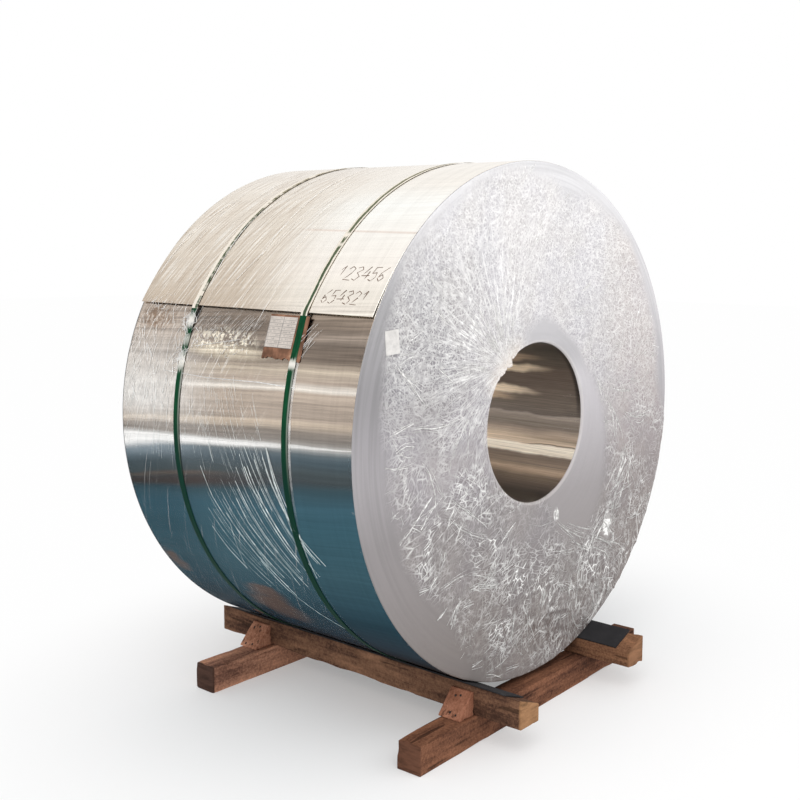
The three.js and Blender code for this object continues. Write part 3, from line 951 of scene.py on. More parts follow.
def strap_plastic(look, end, centre, half_width):
    """Green strapping, embossed by its rollers, washed out ragged white and olive by painted glare
    where it passes over the top.
    """
    side_toward, glare_across, hides, washed_out, over_top, stuck = STRAP_GLARE[end]
    net = Net("strap_" + end, Roughness=0.5, Specular_IOR_Level=0.03)
    arc, x = net.unrolled()
    worn = net.noise(net.join(arc * 22.0, x * 90.0), 1.0, 4.0, 0.65)
    side = (x - centre) / half_width
    edge = abs(side + side_toward) + worn * 0.9
    # Painted glare: over the top the strap turns ragged white at its edges and olive between them.
    top = net.range(arc, ONCE_ROUND - 1.9, ONCE_ROUND - 1.5)
    hidden = net.range(edge, *glare_across) * (top * hides)
    washed_out_noise = net.noise(net.join(arc * 16.0, 3.0), 1.0, 4.0, 0.7)
    hidden = net.maximum(hidden, net.range(washed_out_noise, 0.46, 0.60) * (top * washed_out))
    for middle, half, most in stuck:
        near = level_lines(net, arc, middle, half)
        torn = net.range(near * 0.22 + worn, 0.50, 0.60)
        hidden = net.maximum(hidden, torn * (near * most))
    hazed = net.range(side, 0.45, 0.75) * net.range(arc, 0.55, 0.2, 0.0, 0.3)
    hidden = net.maximum(hidden, hazed * net.range(arc, 0.1, 0.2))
    green = net.ramp(worn, [(0.3, scaled(look.strap, 0.6)), (0.5, look.strap),
                            (0.72, scaled(look.strap, 1.5))])
    shadowed = net.range(arc, 0.25, 0.5, 0.0, 0.85) * net.range(arc, 3.2, 2.6)
    green = net.tint(shadowed, green, paint(6, 46, 38))
    glare_olive = top * net.range(arc, ONCE_ROUND - 0.02, ONCE_ROUND - 0.35, 0.4, 0.9)
    glare_olive_blend = net.range(arc, ONCE_ROUND - 0.30, ONCE_ROUND - 0.60)
    pale = net.tint(glare_olive_blend, paint(104, 108, 84), over_top)
    white = net.tint(top, paint(242, 238, 230), paint(238, 229, 216))
    weave = (net.math("SINE", arc * (2 * math.pi / WEAVE_LENGTH))
             * net.math("SINE", x * (2 * math.pi / WEAVE_WIDTH)))
    net.bump(weave, 0.0003, 0.4)
    return net.done(Base_Color=net.tint(hidden, net.tint(glare_olive, green, pale), white))


def card_board(look):
    """Brown card, damp-stained and torn along its lower edge."""
    net = Net("card_board", Roughness=0.85, Specular_IOR_Level=0.15)
    stain = net.noise(net.point(), 22.0, 4.0, 0.65, 0.6)
    fibre = net.noise(net.point((300.0, 40.0, 40.0)), 1.0, 3.0)
    colour = net.ramp(stain, [(0.3, scaled(look.card, 0.55)), (0.48, look.card),
                              (0.62, scaled(look.card, 1.5)), (0.75, paint(186, 150, 122))])
    net.bump(fibre, 0.0006, 0.4)
    return net.done(Base_Color=net.shade(colour, net.range(fibre, 0.3, 0.7, 0.86, 1.12)))


def label_paper(look, columns=2.0, rows=9.0):
    """A white sheet with a plain grey table on it, and nothing written in it."""
    net = Net("label_paper", Roughness=0.55)
    x, y, height = place(net)
    turn = net.math("DEGREES", net.math("ARCTAN2", height, y))
    u = net.range(x, LABEL_LOW.x, LABEL_HIGH.x, curve="LINEAR") * columns
    top = TAIL_ANGLE + LABEL_START
    v = net.range(turn, top + LABEL_SPAN, top, curve="LINEAR") * rows
    row, column = net.math("FRACT", v), net.math("FRACT", u)
    line_up = net.range(row, 0.10, 0.16, 1.0, 0.0)
    line_across = net.range(column, 0.03, 0.05, 1.0, 0.0)
    blotch = net.range(net.noise(net.join(u * 12.0, v), 1.0, 1.0), 0.5, 0.62)
    smear = net.range(abs(row - 0.58), 0.12, 0.22, 1.0, 0.0) * blotch
    ink = net.maximum(net.maximum(line_up, line_across), smear * 0.7)
    sheet = tuple(a * b for a, b in zip(look.paper, (0.98, 0.91, 0.85)))
    colour = net.tint(ink * 0.72, sheet, paint(96, 94, 94))
    soil = net.range(net.noise(net.point(), 30.0, 3.0), 0.3, 0.7, 0.9, 1.05)
    return net.done(Base_Color=net.shade(colour, soil))


def sticker_paper(look):
    """A blank white sticker, a little soiled."""
    net = Net("sticker_paper", Roughness=0.5)
    soil = net.noise(net.point(), 55.0, 4.0, 0.6)
    net.bump(soil, 0.0005, 0.2)
    stops = [(0.3, scaled(look.paper, 0.86)), (0.6, scaled(look.paper, 1.12))]
    return net.done(Base_Color=net.ramp(soil, stops))


def sawn_timber(name, dark, light, along, grain=1.0, contrast=1.0, tone=(1.0, 1.0, 1.0), ends=()):
    """Rough timber: grain along one axis, stains and dirt. ends holds (place, colour) of cuts."""
    dark, light = (tuple(c * t for c, t in zip(colour, tone)) for colour in (dark, light))
    net = Net(name, Roughness=0.85, Specular_IOR_Level=0.1)
    stretch, slow = [34.0 * grain] * 3, [9.0] * 3
    stretch[along], slow[along] = 2.2 * grain, 2.6
    fibre = net.noise(net.warp(net.point(tuple(stretch)), 0.7, 0.8), 1.6, 5.0, 0.7)
    stain = net.noise(net.point(tuple(slow)), 1.0, 5.0, 0.65, 0.5)
    grit = net.noise(net.point(), 130.0, 4.0, 0.7)
    value = fibre * (0.34 * contrast) + (stain * 0.55 + grit * 0.36)
    middle = tuple((a + b) / 2 for a, b in zip(dark, light))
    centre = 0.17 * contrast + 0.455
    colour = net.ramp(value, [(centre - 0.19, scaled(dark, 0.4)), (centre - 0.09, dark),
                              (centre, middle), (centre + 0.09, light),
                              (centre + 0.20, scaled(light, 1.4))])
    crack = net.range(net.noise(net.point(scaled(stretch, 1.4)), 1.0, 3.0), 0.32, 0.38, 0.45, 1.0)
    colour = net.shade(colour, crack)
    for end, cut in ends:
        here = net.range(abs(net.split(net.point())[along] - end), 0.004, 0.010, 1.0, 0.0)
        rings = net.noise(net.warp(net.point((14.0, 14.0, 60.0)), 0.6, 0.9), 1.0, 4.0, 0.65)
        face = net.ramp(rings, [(0.3, scaled(cut, 0.5)), (0.5, cut), (0.7, scaled(cut, 1.3))])
        colour = net.tint(here, colour, face)
    net.bump(fibre * 0.7 + (grit * 0.5 + crack), 0.0025, 0.7)
    return net.done(Base_Color=colour)


def rubber_mat(look):
    """Dull black rubber with dust in its pores."""
    net = Net("rubber_mat", Roughness=0.75, Specular_IOR_Level=0.15)
    dust = net.noise(net.point(), 18.0, 5.0, 0.65)
    net.bump(net.noise(net.point(), 420.0), 0.0006, 0.5)
    return net.done(Base_Color=net.ramp(dust, [(0.35, scaled(look.rubber, 0.8)), (0.6, look.rubber),
                                               (0.8, scaled(look.rubber, 2.2))]))


def nail_steel(look):
    """Dark, rusty nail heads."""
    net = Net("nail_steel", Metallic=0.4, Roughness=0.6)
    brown_marks = net.noise(net.point(), 300.0, 3.0)
    return net.done(Base_Color=net.ramp(brown_marks, [(0.4, look.nail), (0.7, scaled(look.nail, 2.0))]))


# ---- geometry node trees ---------------------------------------------------------------------
class Grower(Wiring):
    """A geometry node tree with named inputs, a geometry and a material always among them."""

    family = "GeometryNode"

    def __init__(self, name, **inputs):
        super().__init__(bpy.data.node_groups.new(name, "GeometryNodeTree"))
        sockets = self.tree.interface
        sockets.new_socket("Geometry", in_out="OUTPUT", socket_type="NodeSocketGeometry")
        for key, kind in {"Geometry": "Geometry", **inputs, "Material": "Material"}.items():
            name = key.replace("_", " ")
            sockets.new_socket(name, in_out="INPUT", socket_type="NodeSocket" + kind)
        outputs = self.add("NodeGroupInput").outputs
        self.given = {socket.name: Value(self, socket) for socket in outputs}

    def attribute(self, name):
        return self.node("InputNamedAttribute", {"Name": name}, data_type="FLOAT")

    def finish(self, geometry):
        """Real geometry with its material, out of the tree."""
        real = self.node("RealizeInstances", {"Geometry": geometry})
        smooth_skin = self.node("SetShadeSmooth", {"Geometry": real})
        material = self.given["Material"]
        dressed = self.node("SetMaterial", {"Geometry": smooth_skin, "Material": material})
        self.add("NodeGroupOutput", {0: dressed})
        return self.tree


def grow(name, points, attributes, tree, **values):
    """Runs a tree on loose points and returns what it makes as a plain mesh object.

    attributes holds each point's values by name, values the tree's own inputs."""
    seeds = bpy.data.meshes.new(name + "_points")
    seeds.from_pydata([tuple(p) for p in points], [], [])
    for key, column in attributes.items():
        layer = seeds.attributes.new(key, "FLOAT", "POINT")
        layer.data.foreach_set("value", np.asarray(column, np.float32))
    holder = put(name + "_points", seeds)
    modifier = holder.modifiers.new("grow", "NODES")
    modifier.node_group = tree
    for item in tree.interface.items_tree:
        key = item.name.replace(" ", "_")
        if item.in_out == "INPUT" and key in values:
            modifier[item.identifier] = values[key]
    bpy.context.view_layer.update()
    graph = bpy.context.evaluated_depsgraph_get()
    mesh = bpy.data.meshes.new_from_object(holder.evaluated_get(graph))
    mesh.name = name
    holder.modifiers.remove(modifier)
    bpy.data.objects.remove(holder)
    return put(name, mesh)


def sliver(net):
    """A ridge one unit long and one wide, pointed at both ends, made once and then repeated."""
    line = net.node("CurvePrimitiveLine", {"Start": (-0.5, 0, 0), "End": (0.5, 0, 0)})
    fine = net.node("ResampleCurve", {"Curve": line, "Count": 7})
    along = net.node("SplineParameter", output="Factor")
    swell = net.math("POWER", net.math("SINE", along * math.pi), 0.7)
    thick = net.maximum(swell, 0.04)
    section = net.node("CurvePrimitiveCircle", {"Resolution": 4, "Radius": 0.5})
    plugs = {"Curve": net.node("SetCurveRadius", {"Curve": fine, "Radius": thick}),
             "Profile Curve": section, "Fill Caps": True}
    return net.node("CurveToMesh", plugs)


def laid_slivers(net):
    """Slivers on every point of a flat plan, each with its own length, width, bend and heading."""
    points = net.node("MeshToPoints", {"Mesh": net.given["Geometry"]})
    size = net.join(net.attribute("reach"), net.attribute("breadth"), net.attribute("rise"))
    turn = net.join(z=net.attribute("heading"))
    plugs = {"Points": points, "Instance": sliver(net), "Rotation": turn, "Scale": size}
    return net.node("InstanceOnPoints", plugs)


def wrapped_folds():
    """A tree that lays slivers on a plan of (arc, x) and wraps the plan round the coil."""
    net = Grower("wrapped_folds", Radius="Float", Axis_Height="Float", Start_Angle="Float")
    real = net.node("RealizeInstances", {"Geometry": laid_slivers(net)})
    place = net.split(net.node("InputPosition"))
    turn = place[0] / net.given["Radius"] + net.math("RADIANS", net.given["Start Angle"])
    radius = net.given["Radius"] + place[2]
    y = radius * net.math("COSINE", turn)
    z = radius * net.math("SINE", turn) + net.given["Axis Height"]
    wrapped = net.join(place[1], y, z)
    moved = net.node("SetPosition", {"Geometry": real, "Position": wrapped})
    return net.finish(moved)


ROUND_THE_COIL = {"Radius": COIL_RADIUS, "Axis_Height": AXIS, "Start_Angle": TAIL_ANGLE}


def flat_folds():
    """A tree that lays slivers on a plan of (y, height) and stands the plan up against an end."""
    net = Grower("flat_folds", Face="Float", Axis_Height="Float")
    real = net.node("RealizeInstances", {"Geometry": laid_slivers(net)})
    place = net.split(net.node("InputPosition"))
    x = net.given["Face"] + place[2]
    z = net.given["Axis Height"] + place[1]
    upright = net.join(x, place[0], z)
    moved = net.node("SetPosition", {"Geometry": real, "Position": upright})
    return net.finish(moved)


def nail_heads():
    """A tree that puts a shallow domed head on every point, facing along the wedge's slope."""
    net = Grower("nail_heads", Radius="Float", Tilt="Float")
    head = net.node("MeshUVSphere", {"Segments": 12, "Rings": 6, "Radius": net.given["Radius"]})
    flat = net.node("Transform", {"Geometry": head, "Scale": (1.0, 1.0, 0.35)})
    points = net.node("MeshToPoints", {"Mesh": net.given["Geometry"]})
    turn = net.join(net.given["Tilt"])
    plugs = {"Points": points, "Instance": flat, "Rotation": turn}
    return net.finish(net.node("InstanceOnPoints", plugs))


# ---- the coil --------------------------------------------------------------------------------
SOFT_EDGE = 0.0006                               # how much sharp edges are eased


def coil_mesh(facet, bore):
    """Wound strip: one solid with its bore, and its free end standing open."""
    turns = full_turn(facet)
    tail = turns[turns > TAIL_ANGLE - TAIL_OPEN]
    count, opened = len(turns), len(tail)
    first = count - opened
    angles = np.concatenate([turns, tail[::-1], tail])
    underside = turn_below(tail) + tail_lift(tail)
    radii = np.concatenate([outermost_turn(turns), underside[::-1], turn_below(tail)])
    near_end = HALF_STRIP - np.array([0.0, 0.0008, 0.002, 0.006])
    stations = np.concatenate([-near_end, near_end[::-1]])[:, None]
    rows = len(stations)
    softened = np.zeros((rows, 1))
    softened[[0, -1]] = SOFT_EDGE
    outside = on_coil(angles, radii - softened, stations)
    inside = on_coil(turns, bore + softened, stations)
    points = np.concatenate([outside.reshape(-1, 3), inside.reshape(-1, 3)])
    size = len(angles)
    walls = grid_faces(rows - 1, size, rows, size).tolist()
    bore_wall = (grid_faces(rows - 1, count, rows, count) + rows * size).tolist()
    body = [*range(first), *range(count + opened, count + 2 * opened)]
    ends = []
    for row in (0, rows - 1):
        rim, hole = row * size, rows * size + row * count
        for i in range(count):
            j = (i + 1) % count
            face = [hole + i, hole + j, rim + body[j], rim + body[i]]
            if j == first:
                face[3:] = [rim + count + opened - 1, rim + first, rim + i]
            ends.append(face)
        for i in range(first, count - 1):
            low = rim + 2 * count - 1 - i
            ends.append([low, low - 1, rim + i + 1, rim + i])
    mesh = bpy.data.meshes.new("strip_coil")
    mesh.from_pydata(points.tolist(), [], walls + bore_wall + ends)
    kinds = np.repeat([0, 1, 2], [len(walls), len(bore_wall), len(ends)])
    mesh.polygons.foreach_set("material_index", kinds.astype(np.int32))
    shape = bmesh.new()
    shape.from_mesh(mesh)
    bmesh.ops.recalc_face_normals(shape, faces=shape.faces)
    shape.to_mesh(mesh)
    shape.free()
    return mesh


HOLE_ROOM = 0.002                                # between the bore and the discs' holes


def rounded_ring(name, side, low, high, inner, outer, rounding=SOFT_EDGE, steps=480):
    """A flat ring round the axis. side is 1 at the front end and -1 at the back."""
    cross = []
    inner, outer, low, high = inner + rounding, outer - rounding, low + rounding, high - rounding
    corners = ((outer, low, -90), (outer, high, 0), (inner, high, 90), (inner, low, 180))
    for radius, x, start in corners:
        for turn in np.radians(start + np.arange(4) * 30.0):
            cross.append((radius + rounding * math.cos(turn), x + rounding * math.sin(turn)))
    radius, x = np.array(cross).T
    angles = np.arange(steps)[:, None] * 360 / steps
    return ring_mesh(name, on_coil(angles, radius, side * x))


# ---- film ------------------------------------------------------------------------------------
def ridges(points, scale, seed):
    """1 along wandering lines, falling to 0 beside them."""
    return np.clip(1 - 2.4 * np.abs(lattice_noise(points * scale, seed)), 0, 1)


def lean(y, height, angle):
    """The cosine of the turn from an angle to a place on an end."""
    turn = math.radians(angle)
    return (y * math.cos(turn) + height * math.sin(turn)) / np.hypot(y, height)


def off_sticker(y, height):
    """0 under the sticker on the front, 1 away from it."""
    return smooth(0.045, 0.07, np.hypot(y - STICKER_PLACE[0], height - STICKER_PLACE[1]))


def crinkled_zone(y, height, look, bore, side):
    """1 where the film over an end is crinkled, 0 where it lies smooth."""
    radius = np.hypot(y, height)
    reach = CRINKLE_REACH
    for angle, low, high, more in FARTHER:
        reach = reach + more * smooth(low, high, lean(y, height, angle))
    waver = lattice_noise(np.stack([y * 8, height * 8, 0 * y], -1), look.seed + side)
    reach = reach + 0.03 * waver
    zone = smooth(0.012, -0.04, radius - reach) * smooth(bore + 0.006, bore + 0.03, radius)
    (mid_y, mid_height), (half_y, half_height) = SMOOTH_AREA
    oval = np.hypot((y - mid_y) / half_y, (height - mid_height) / half_height)
    zone = zone * smooth(0.88, 1.12, oval)
    (angle, low, high), distances = BESIDE_BORE
    zone = zone * (1 - smooth(low, high, lean(y, height, angle)) * smooth(*distances, radius))
    return zone * off_sticker(y, height) if side > 0 else zone


def crinkle(y, height, look, bore, side):
    """How far the film's folds stand out over an end."""
    radius = np.hypot(y, height)
    across, up = y / radius, height / radius
    seed = look.seed + (0 if side > 0 else 40)
    flat = np.stack([y, height, np.full_like(y, 0.37)], -1)
    push = [lattice_noise(flat * 7, seed + 1), lattice_noise(flat * 7, seed + 2), 0 * y]
    pushed = flat + 0.025 * np.stack(push, -1)
    large, small = ridges(pushed, 13, seed + 3), ridges(pushed, 29, seed + 4)
    rays = ridges(np.stack([9 * across, 9 * up, 5 * radius], -1), 1.6, seed + 5)
    fan = smooth(0.2, 0.85, lean(y, height, 128)) * smooth(0.78, 0.6, radius)
    folds = (1 - fan) * (0.6 * large ** 2 + 0.4 * small ** 2)
    folds = folds + fan * (0.5 * rays ** 2 + 0.2 * small ** 2)
    zone = crinkled_zone(y, height, look, bore, side)
    hoops = ridges(np.stack([across * 1.5, up * 1.5, radius * 30], -1), 1.0, seed + 7)
    inward = smooth(DISC_RADIUS - 0.01, DISC_RADIUS - 0.05, radius)
    hoops = (0.05 + 0.12 * smooth(0.0, 0.5, up)) * inward * hoops
    hoops = hoops * (1 - zone) * off_sticker(y, height)
    return look.crinkle_height * np.maximum(folds * zone, hoops)


def bunched(angles, side):
    """Film gathered at one place of the bore's mouth, where it hangs over the edge."""
    away = (angles - BUNCH_ANGLES[side]) % 360
    away = np.minimum(away, 360 - away)
    turn = np.radians(angles)
    around = np.stack([26 * np.cos(turn), 26 * np.sin(turn), 0 * turn + side], -1)
    pleats = lattice_noise(around, 31)
    return smooth(17, 3, away) * (0.013 + 0.010 * pleats)


# Long creases in the film over the front: (y, height over the axis) along each.
FRONT_CREASES = (
    ((-0.543, -0.048), (-0.414, -0.173), (-0.266, -0.312)),
    ((-0.330, -0.456), (-0.292, -0.450), (-0.249, -0.464), (-0.195, -0.469)),
    ((-0.330, -0.456), (-0.283, -0.466), (-0.234, -0.472), (-0.195, -0.471)),
    ((-0.361, -0.505), (-0.317, -0.502)),
    ((-0.630, -0.258), (-0.611, -0.241), (-0.584, -0.220), (-0.546, -0.231), (-0.517, -0.214)),
    ((-0.431, -0.228), (-0.387, -0.263), (-0.332, -0.292), (-0.261, -0.325)),
    ((-0.549, -0.411), (-0.507, -0.409), (-0.475, -0.390)),
    ((-0.457, -0.427), (-0.416, -0.413), (-0.339, -0.411), (-0.251, -0.429), (-0.186, -0.441),
     (-0.094, -0.431)),
    ((-0.465, -0.366), (-0.448, -0.338), (-0.448, -0.321)),
    ((-0.533, -0.293), (-0.504, -0.279)),
    ((-0.315, -0.699), (-0.274, -0.700)),
    ((-0.246, -0.746), (-0.146, -0.762), (-0.087, -0.764)),
    ((0.401, -0.362), (0.393, -0.400), (0.347, -0.442), (0.452, -0.482)),
    ((0.399, -0.397), (0.423, -0.417), (0.464, -0.451), (0.459, -0.484)),
    ((0.108, -0.297), (0.121, -0.333)),
    ((0.179, -0.358), (0.347, -0.442), (0.514, -0.527)),
    ((0.114, -0.340), (0.204, -0.427), (0.296, -0.466), (0.480, -0.516)),
    ((0.143, -0.363), (0.265, -0.451)),
    ((0.093, -0.436), (0.165, -0.455), (0.212, -0.457)),
    ((0.120, -0.555), (0.168, -0.560), (0.229, -0.585), (0.169, -0.587), (0.120, -0.555)),
    ((0.149, -0.673), (0.202, -0.670)),
    ((0.385, -0.595), (0.470, -0.597)),
    ((-0.596, 0.294), (-0.545, 0.313)),
    ((-0.650, 0.234), (-0.545, 0.152)),
    ((-0.624, 0.211), (-0.524, 0.127)),
    ((-0.473, 0.206), (-0.419, 0.165)),
    ((-0.646, -0.003), (-0.611, 0.010), (-0.581, 0.010)),
    ((-0.669, 0.045), (-0.579, 0.051), (-0.368, 0.038)),
)


PIECE_LENGTH = 0.017                             # of one straight piece of a crease


def crease(chance, start, heading, length, bend, breadth, jitter=0.10):
    """The joined pieces of one crease, as rows of y, height, length, heading, breadth."""
    pieces = max(2, round(length / PIECE_LENGTH))
    step = length / pieces
    y, height = start
    rows = []
    for part in range(pieces):
        heading += bend * step + chance.normal(0, jitter)
        swell = math.sin(math.pi * (part + 0.7) / (pieces + 0.4)) ** 0.5
        rows.append((y + 0.5 * step * math.cos(heading), height + 0.5 * step * math.sin(heading),
                     1.35 * step, heading, breadth * swell))
        y += step * math.cos(heading)
        height += step * math.sin(heading)
    return rows


def placed_creases(chance):
    """The long creases, each drawn as a thick line with thin ones beside it."""
    rows = []
    for line in FRONT_CREASES:
        thick = 0.0065 if line[0][0] > 0.39 else 0.0045
        for shift, breadth in ((0.0, thick), (0.007, 0.0018), (-0.008, 0.0014)):
            for (y, height), (next_y, next_height) in zip(line, line[1:]):
                heading = math.atan2(next_height - height, next_y - y)
                length = math.hypot(next_y - y, next_height - height)
                start = (y - shift * math.sin(heading), height + shift * math.cos(heading))
                rows += crease(chance, start, heading, length, 0.0, breadth)
    return rows


def flow(y, height, seed):
    """The way creases tend to run: out from the bunch over the axis, leaning back under it."""
    wander = 3.2 * lattice_noise(np.array([y * 3.1, height * 3.1, 0.5]), seed)
    across, up = y - BUNCH[0], height - BUNCH[1]
    low, away = float(smooth(0.05, -0.25, height)), math.hypot(up, across)
    way = math.atan2(up / away, across / away - 0.95 * low)
    return way + (0.25 + 0.2 * low) * float(wander)


def bundled_creases(chance, bundles, seed):
    """Bundles of creases that spread from one pinch, or run side by side."""
    rows = []
    for number in range(bundles):
        radius, turn = math.sqrt(chance.uniform(0.07, 0.64)), chance.uniform(0, 2 * math.pi)
        if number % 3 == 0:
            radius, turn = chance.uniform(0.3, 0.78), math.radians(chance.uniform(-75, 40))
        y, height = radius * math.cos(turn), radius * math.sin(turn)
        low = height < 0.1
        aim, spread = flow(y, height, seed), chance.uniform(0.05, 0.35)
        bend, length = chance.normal(0, 5), chance.uniform(0.04, 0.20 if low else 0.13)
        for unused in range(chance.integers(2, 7)):
            share = chance.uniform(-1, 1)
            beside = 0.008 * share * (0.3 if spread > 0.2 else 2.0)
            ahead = chance.uniform(-0.02, 0.02)
            start = (y + ahead * math.cos(aim) - beside * math.sin(aim),
                     height + ahead * math.sin(aim) + beside * math.cos(aim))
            breadth = chance.choice((0.0011, 0.0018, 0.0028, 0.0045), p=(0.35, 0.3, 0.22, 0.13))
            breadth = breadth * (1.0 if low else 0.7)
            rows += crease(chance, start, aim + spread * share, length * chance.uniform(0.4, 1.0),
                           bend + chance.normal(0, 1.5), breadth)
    return rows


def curled_creases(chance, count):
    """Short creases that curl about."""
    rows = []
    for unused in range(count):
        radius, turn = math.sqrt(chance.uniform(0.07, 0.66)), chance.uniform(0, 2 * math.pi)
        start = (radius * math.cos(turn), radius * math.sin(turn))
        rows += crease(chance, start, chance.uniform(0, 2 * math.pi), chance.uniform(0.02, 0.06),
                       chance.normal(0, 35), chance.choice((0.0006, 0.0009, 0.0014)), 0.2)
    return rows


def gathered_creases(chance, count):
    """Creases that start close together in the bunch at the bore's mouth and spread from it."""
    mouth = 0.262
    rows = []
    for unused in range(count):
        spread, start = chance.uniform(-1, 1), chance.uniform(mouth, 0.34)
        radii = np.linspace(start, start + chance.uniform(0.04, 0.2), 5)
        angles = np.radians(BUNCH_ANGLES[1] + spread * (12 + 90 * (radii - mouth)))
        places = np.stack([radii * np.cos(angles), radii * np.sin(angles)], -1)
        breadth = chance.choice((0.0007, 0.0012, 0.0020))
        for here, there in zip(places, places[1:]):
            way = there - here
            rows += crease(chance, here, math.atan2(way[1], way[0]), np.hypot(*way), 0.0, breadth)
    return rows


OVER_FILM, FROM_RIM = 0.0005, 0.012              # the creases' height, and room beyond them


def sliver_sizes(reach, heading, breadth, rise):
    """The attributes that laid_slivers reads."""
    return {"reach": reach, "breadth": breadth, "rise": rise, "heading": heading}


def face_folds(look, side, bore, bundles):
    """Where the pieces of the sharpest creases stand on an end, and their sizes."""
    chance = np.random.default_rng(look.seed + 100 + side)
    rows = bundled_creases(chance, bundles, look.seed + 12) + curled_creases(chance, bundles)
    if side > 0:
        rows += gathered_creases(chance, 60)
    rows = np.array(rows)
    rows = rows[crinkled_zone(rows[:, 0], rows[:, 1], look, bore, side) > 0.3]
    if side > 0:
        rows = np.concatenate([rows, placed_creases(chance)])
    inside = np.hypot(rows[:, 0], rows[:, 1]) < DISC_RADIUS - FROM_RIM
    y, height, reach, heading, breadth = rows[inside].T
    lift = crinkle(y, height, look, bore, side) + OVER_FILM
    points = np.stack([y, height, side * lift], -1)
    return points, sliver_sizes(reach, heading, breadth, breadth * 0.8)


RIM_BEND, MOUTH_BEND = 0.003, 0.005              # radii of the film's bends at the rim and the bore
LIP_DEPTH = 0.070                                # how far the film reaches into the bore
HOLE_STEP = 0.0012                               # its back lies so much wider in the disc's hole


def end_film_mesh(name, side, look, bore_radius):
    """Film drawn over an end: lapped onto the girth, across the disc and into the bore."""
    angles = np.arange(560)[:, None] * 360 / 560
    turn = np.radians(angles)
    level = 0 * angles
    rim, bore, edge = DISC_RADIUS + GAP + FILM, bore_radius - GAP - FILM, HALF_STRIP + GAP
    free = smooth(2, 5, (angles - TAIL_ANGLE) % 360) * smooth(16, 20, (TAIL_ANGLE - angles) % 360)
    around = np.concatenate([np.cos(turn), np.sin(turn)], -1)
    ripple = lattice_noise(np.concatenate([around * 9, level + 0.5], -1), look.seed + 9)[:, None]
    lap = 0.0001 + free * (0.009 + 0.006 * ripple)
    lap_over = rim + free * (outermost_turn(angles) + GAP + 0.0007 - rim)
    lap_under = rim - 0.0006 + free * (outermost_turn(angles) + GAP - rim + 0.0006)
    bend = np.radians(np.arange(0, 91, 22.5))
    face_radii = np.linspace(rim - 0.004, bore + 0.006, 136)
    folds = crinkle(face_radii * np.cos(turn), face_radii * np.sin(turn), look, bore, side)
    hung = bunched(angles, side)
    pulled = face_radii - hung * smooth(bore + 0.10, bore, face_radii)
    mouth = np.linspace(FILM_FACE - 0.007, HALF_STRIP - LIP_DEPTH, 10)
    wave = np.broadcast_arrays(around[:, :1] * 5, around[:, 1:] * 5, mouth * 30)
    wave = lattice_noise(np.stack(wave, -1), 77)
    # The skin's section as (radius, x): over the rim, across the end, into the bore and back under.
    columns = [
        (lap_over, edge - lap), (lap_over, edge - 0.4 * lap), (lap_over, edge),
        (rim - RIM_BEND * (1 - np.cos(bend)), FILM_FACE - RIM_BEND * (1 - np.sin(bend))),
        (pulled, FILM_FACE + folds),
        (bore + MOUTH_BEND * (1 - np.sin(bend)) - hung,
         FILM_FACE - MOUTH_BEND * (1 - np.cos(bend))),
        (bore - 0.0012 * np.clip(wave, 0, 1) - hung * smooth(mouth[-1], mouth[0], mouth), mouth),
        (bore + FILM, HALF_STRIP - LIP_DEPTH), (bore + FILM, edge),
        (bore + FILM + HOLE_STEP, edge), (bore + FILM + HOLE_STEP, DISC_FACE + GAP),
        (rim - FILM, DISC_FACE + GAP), (rim - FILM, edge),
        (lap_under, edge), (lap_under, edge - lap),
    ]
    columns = [np.broadcast_arrays(r + level, x + level) for r, x in columns]
    radius, x = (np.concatenate(parts, axis=1) for parts in zip(*columns))
    mesh = ring_mesh(name, on_coil(angles, radius, side * x))
    clear = np.ones(radius.shape, np.int32)      # all but the bends and the face between them
    clear[:, 3:3 + len(bend) * 2 + len(face_radii)] = 0
    mesh.polygons.foreach_set("material_index", clear.ravel())
    return mesh


def girth_mesh(name, angles, x, over, under):
    """A closed band round the girth between two radii for each angle, with its own unrolled UV."""
    x = np.broadcast_to(x, (len(angles), x.shape[-1]))
    points = np.concatenate([on_coil(angles, over, x), on_coil(angles, under, x)[:, ::-1]], axis=1)
    arc = COIL_RADIUS * np.radians(angles - TAIL_ANGLE + 360)
    flat = np.stack(np.broadcast_arrays(arc, MIDDLE + np.concatenate([x, x[:, ::-1]], axis=1)), -1)
    flat = np.concatenate([flat, flat[:1] + (ONCE_ROUND, 0.0)], axis=0)
    return ring_mesh(name, points, np.concatenate([flat, flat[:, :1]], axis=1))


def girth_film_mesh(name, seed):
    """Film as wide as its solid, with a wavering front edge."""
    angles = full_turn(0.5)[:, None]
    stations = np.linspace(GIRTH_LOW.x, GIRTH_HIGH.x, 12) - MIDDLE
    x = np.broadcast_to(stations, (len(angles), len(stations))).copy()
    turn = np.radians(angles)
    around = np.concatenate([3 * np.cos(turn), 3 * np.sin(turn), 0 * turn], -1)
    x[:, -1:] += 0.006 * lattice_noise(around, seed)[:, None]
    return girth_mesh(name, angles, x, film_outside(angles), film_outside(angles) - FILM)


CARD_CLIMB, CARD_OVER = 3, 11.2                  # degrees: of a strap's climb, and over the card


def card_lift(angle):
    """A strap that runs over the card climbs onto it and down again."""
    after = (angle - TAIL_ANGLE + 360 + CARD_CLIMB) % 360 - CARD_CLIMB
    climb = smooth(-CARD_CLIMB, 0, after)
    descent = 1 - smooth(0, CARD_CLIMB, after - CARD_OVER)
    return (CARD_THICKNESS + GAP) * np.minimum(climb, descent)


BACK_STRAP = -0.229                              # its middle, out from the coil's
# Where points lie across a strap, as shares of its width.
STRAP_STATIONS = np.array([0.0, 0.02, 0.06, 0.2, 0.4, 0.6, 0.8, 0.94, 0.98, 1.0])


def strap_mesh(name, seat, stations):
    """A band round the girth with rounded edges, a little thicker in its middle."""
    angles = full_turn(0.75)[:, None]
    across = 2 * (stations - stations[0]) / (stations[-1] - stations[0]) - 1
    thickness = 0.001 * (1 - np.abs(across) ** 14 * 0.7)
    return girth_mesh(name, angles, stations, seat(angles) + thickness, seat(angles))


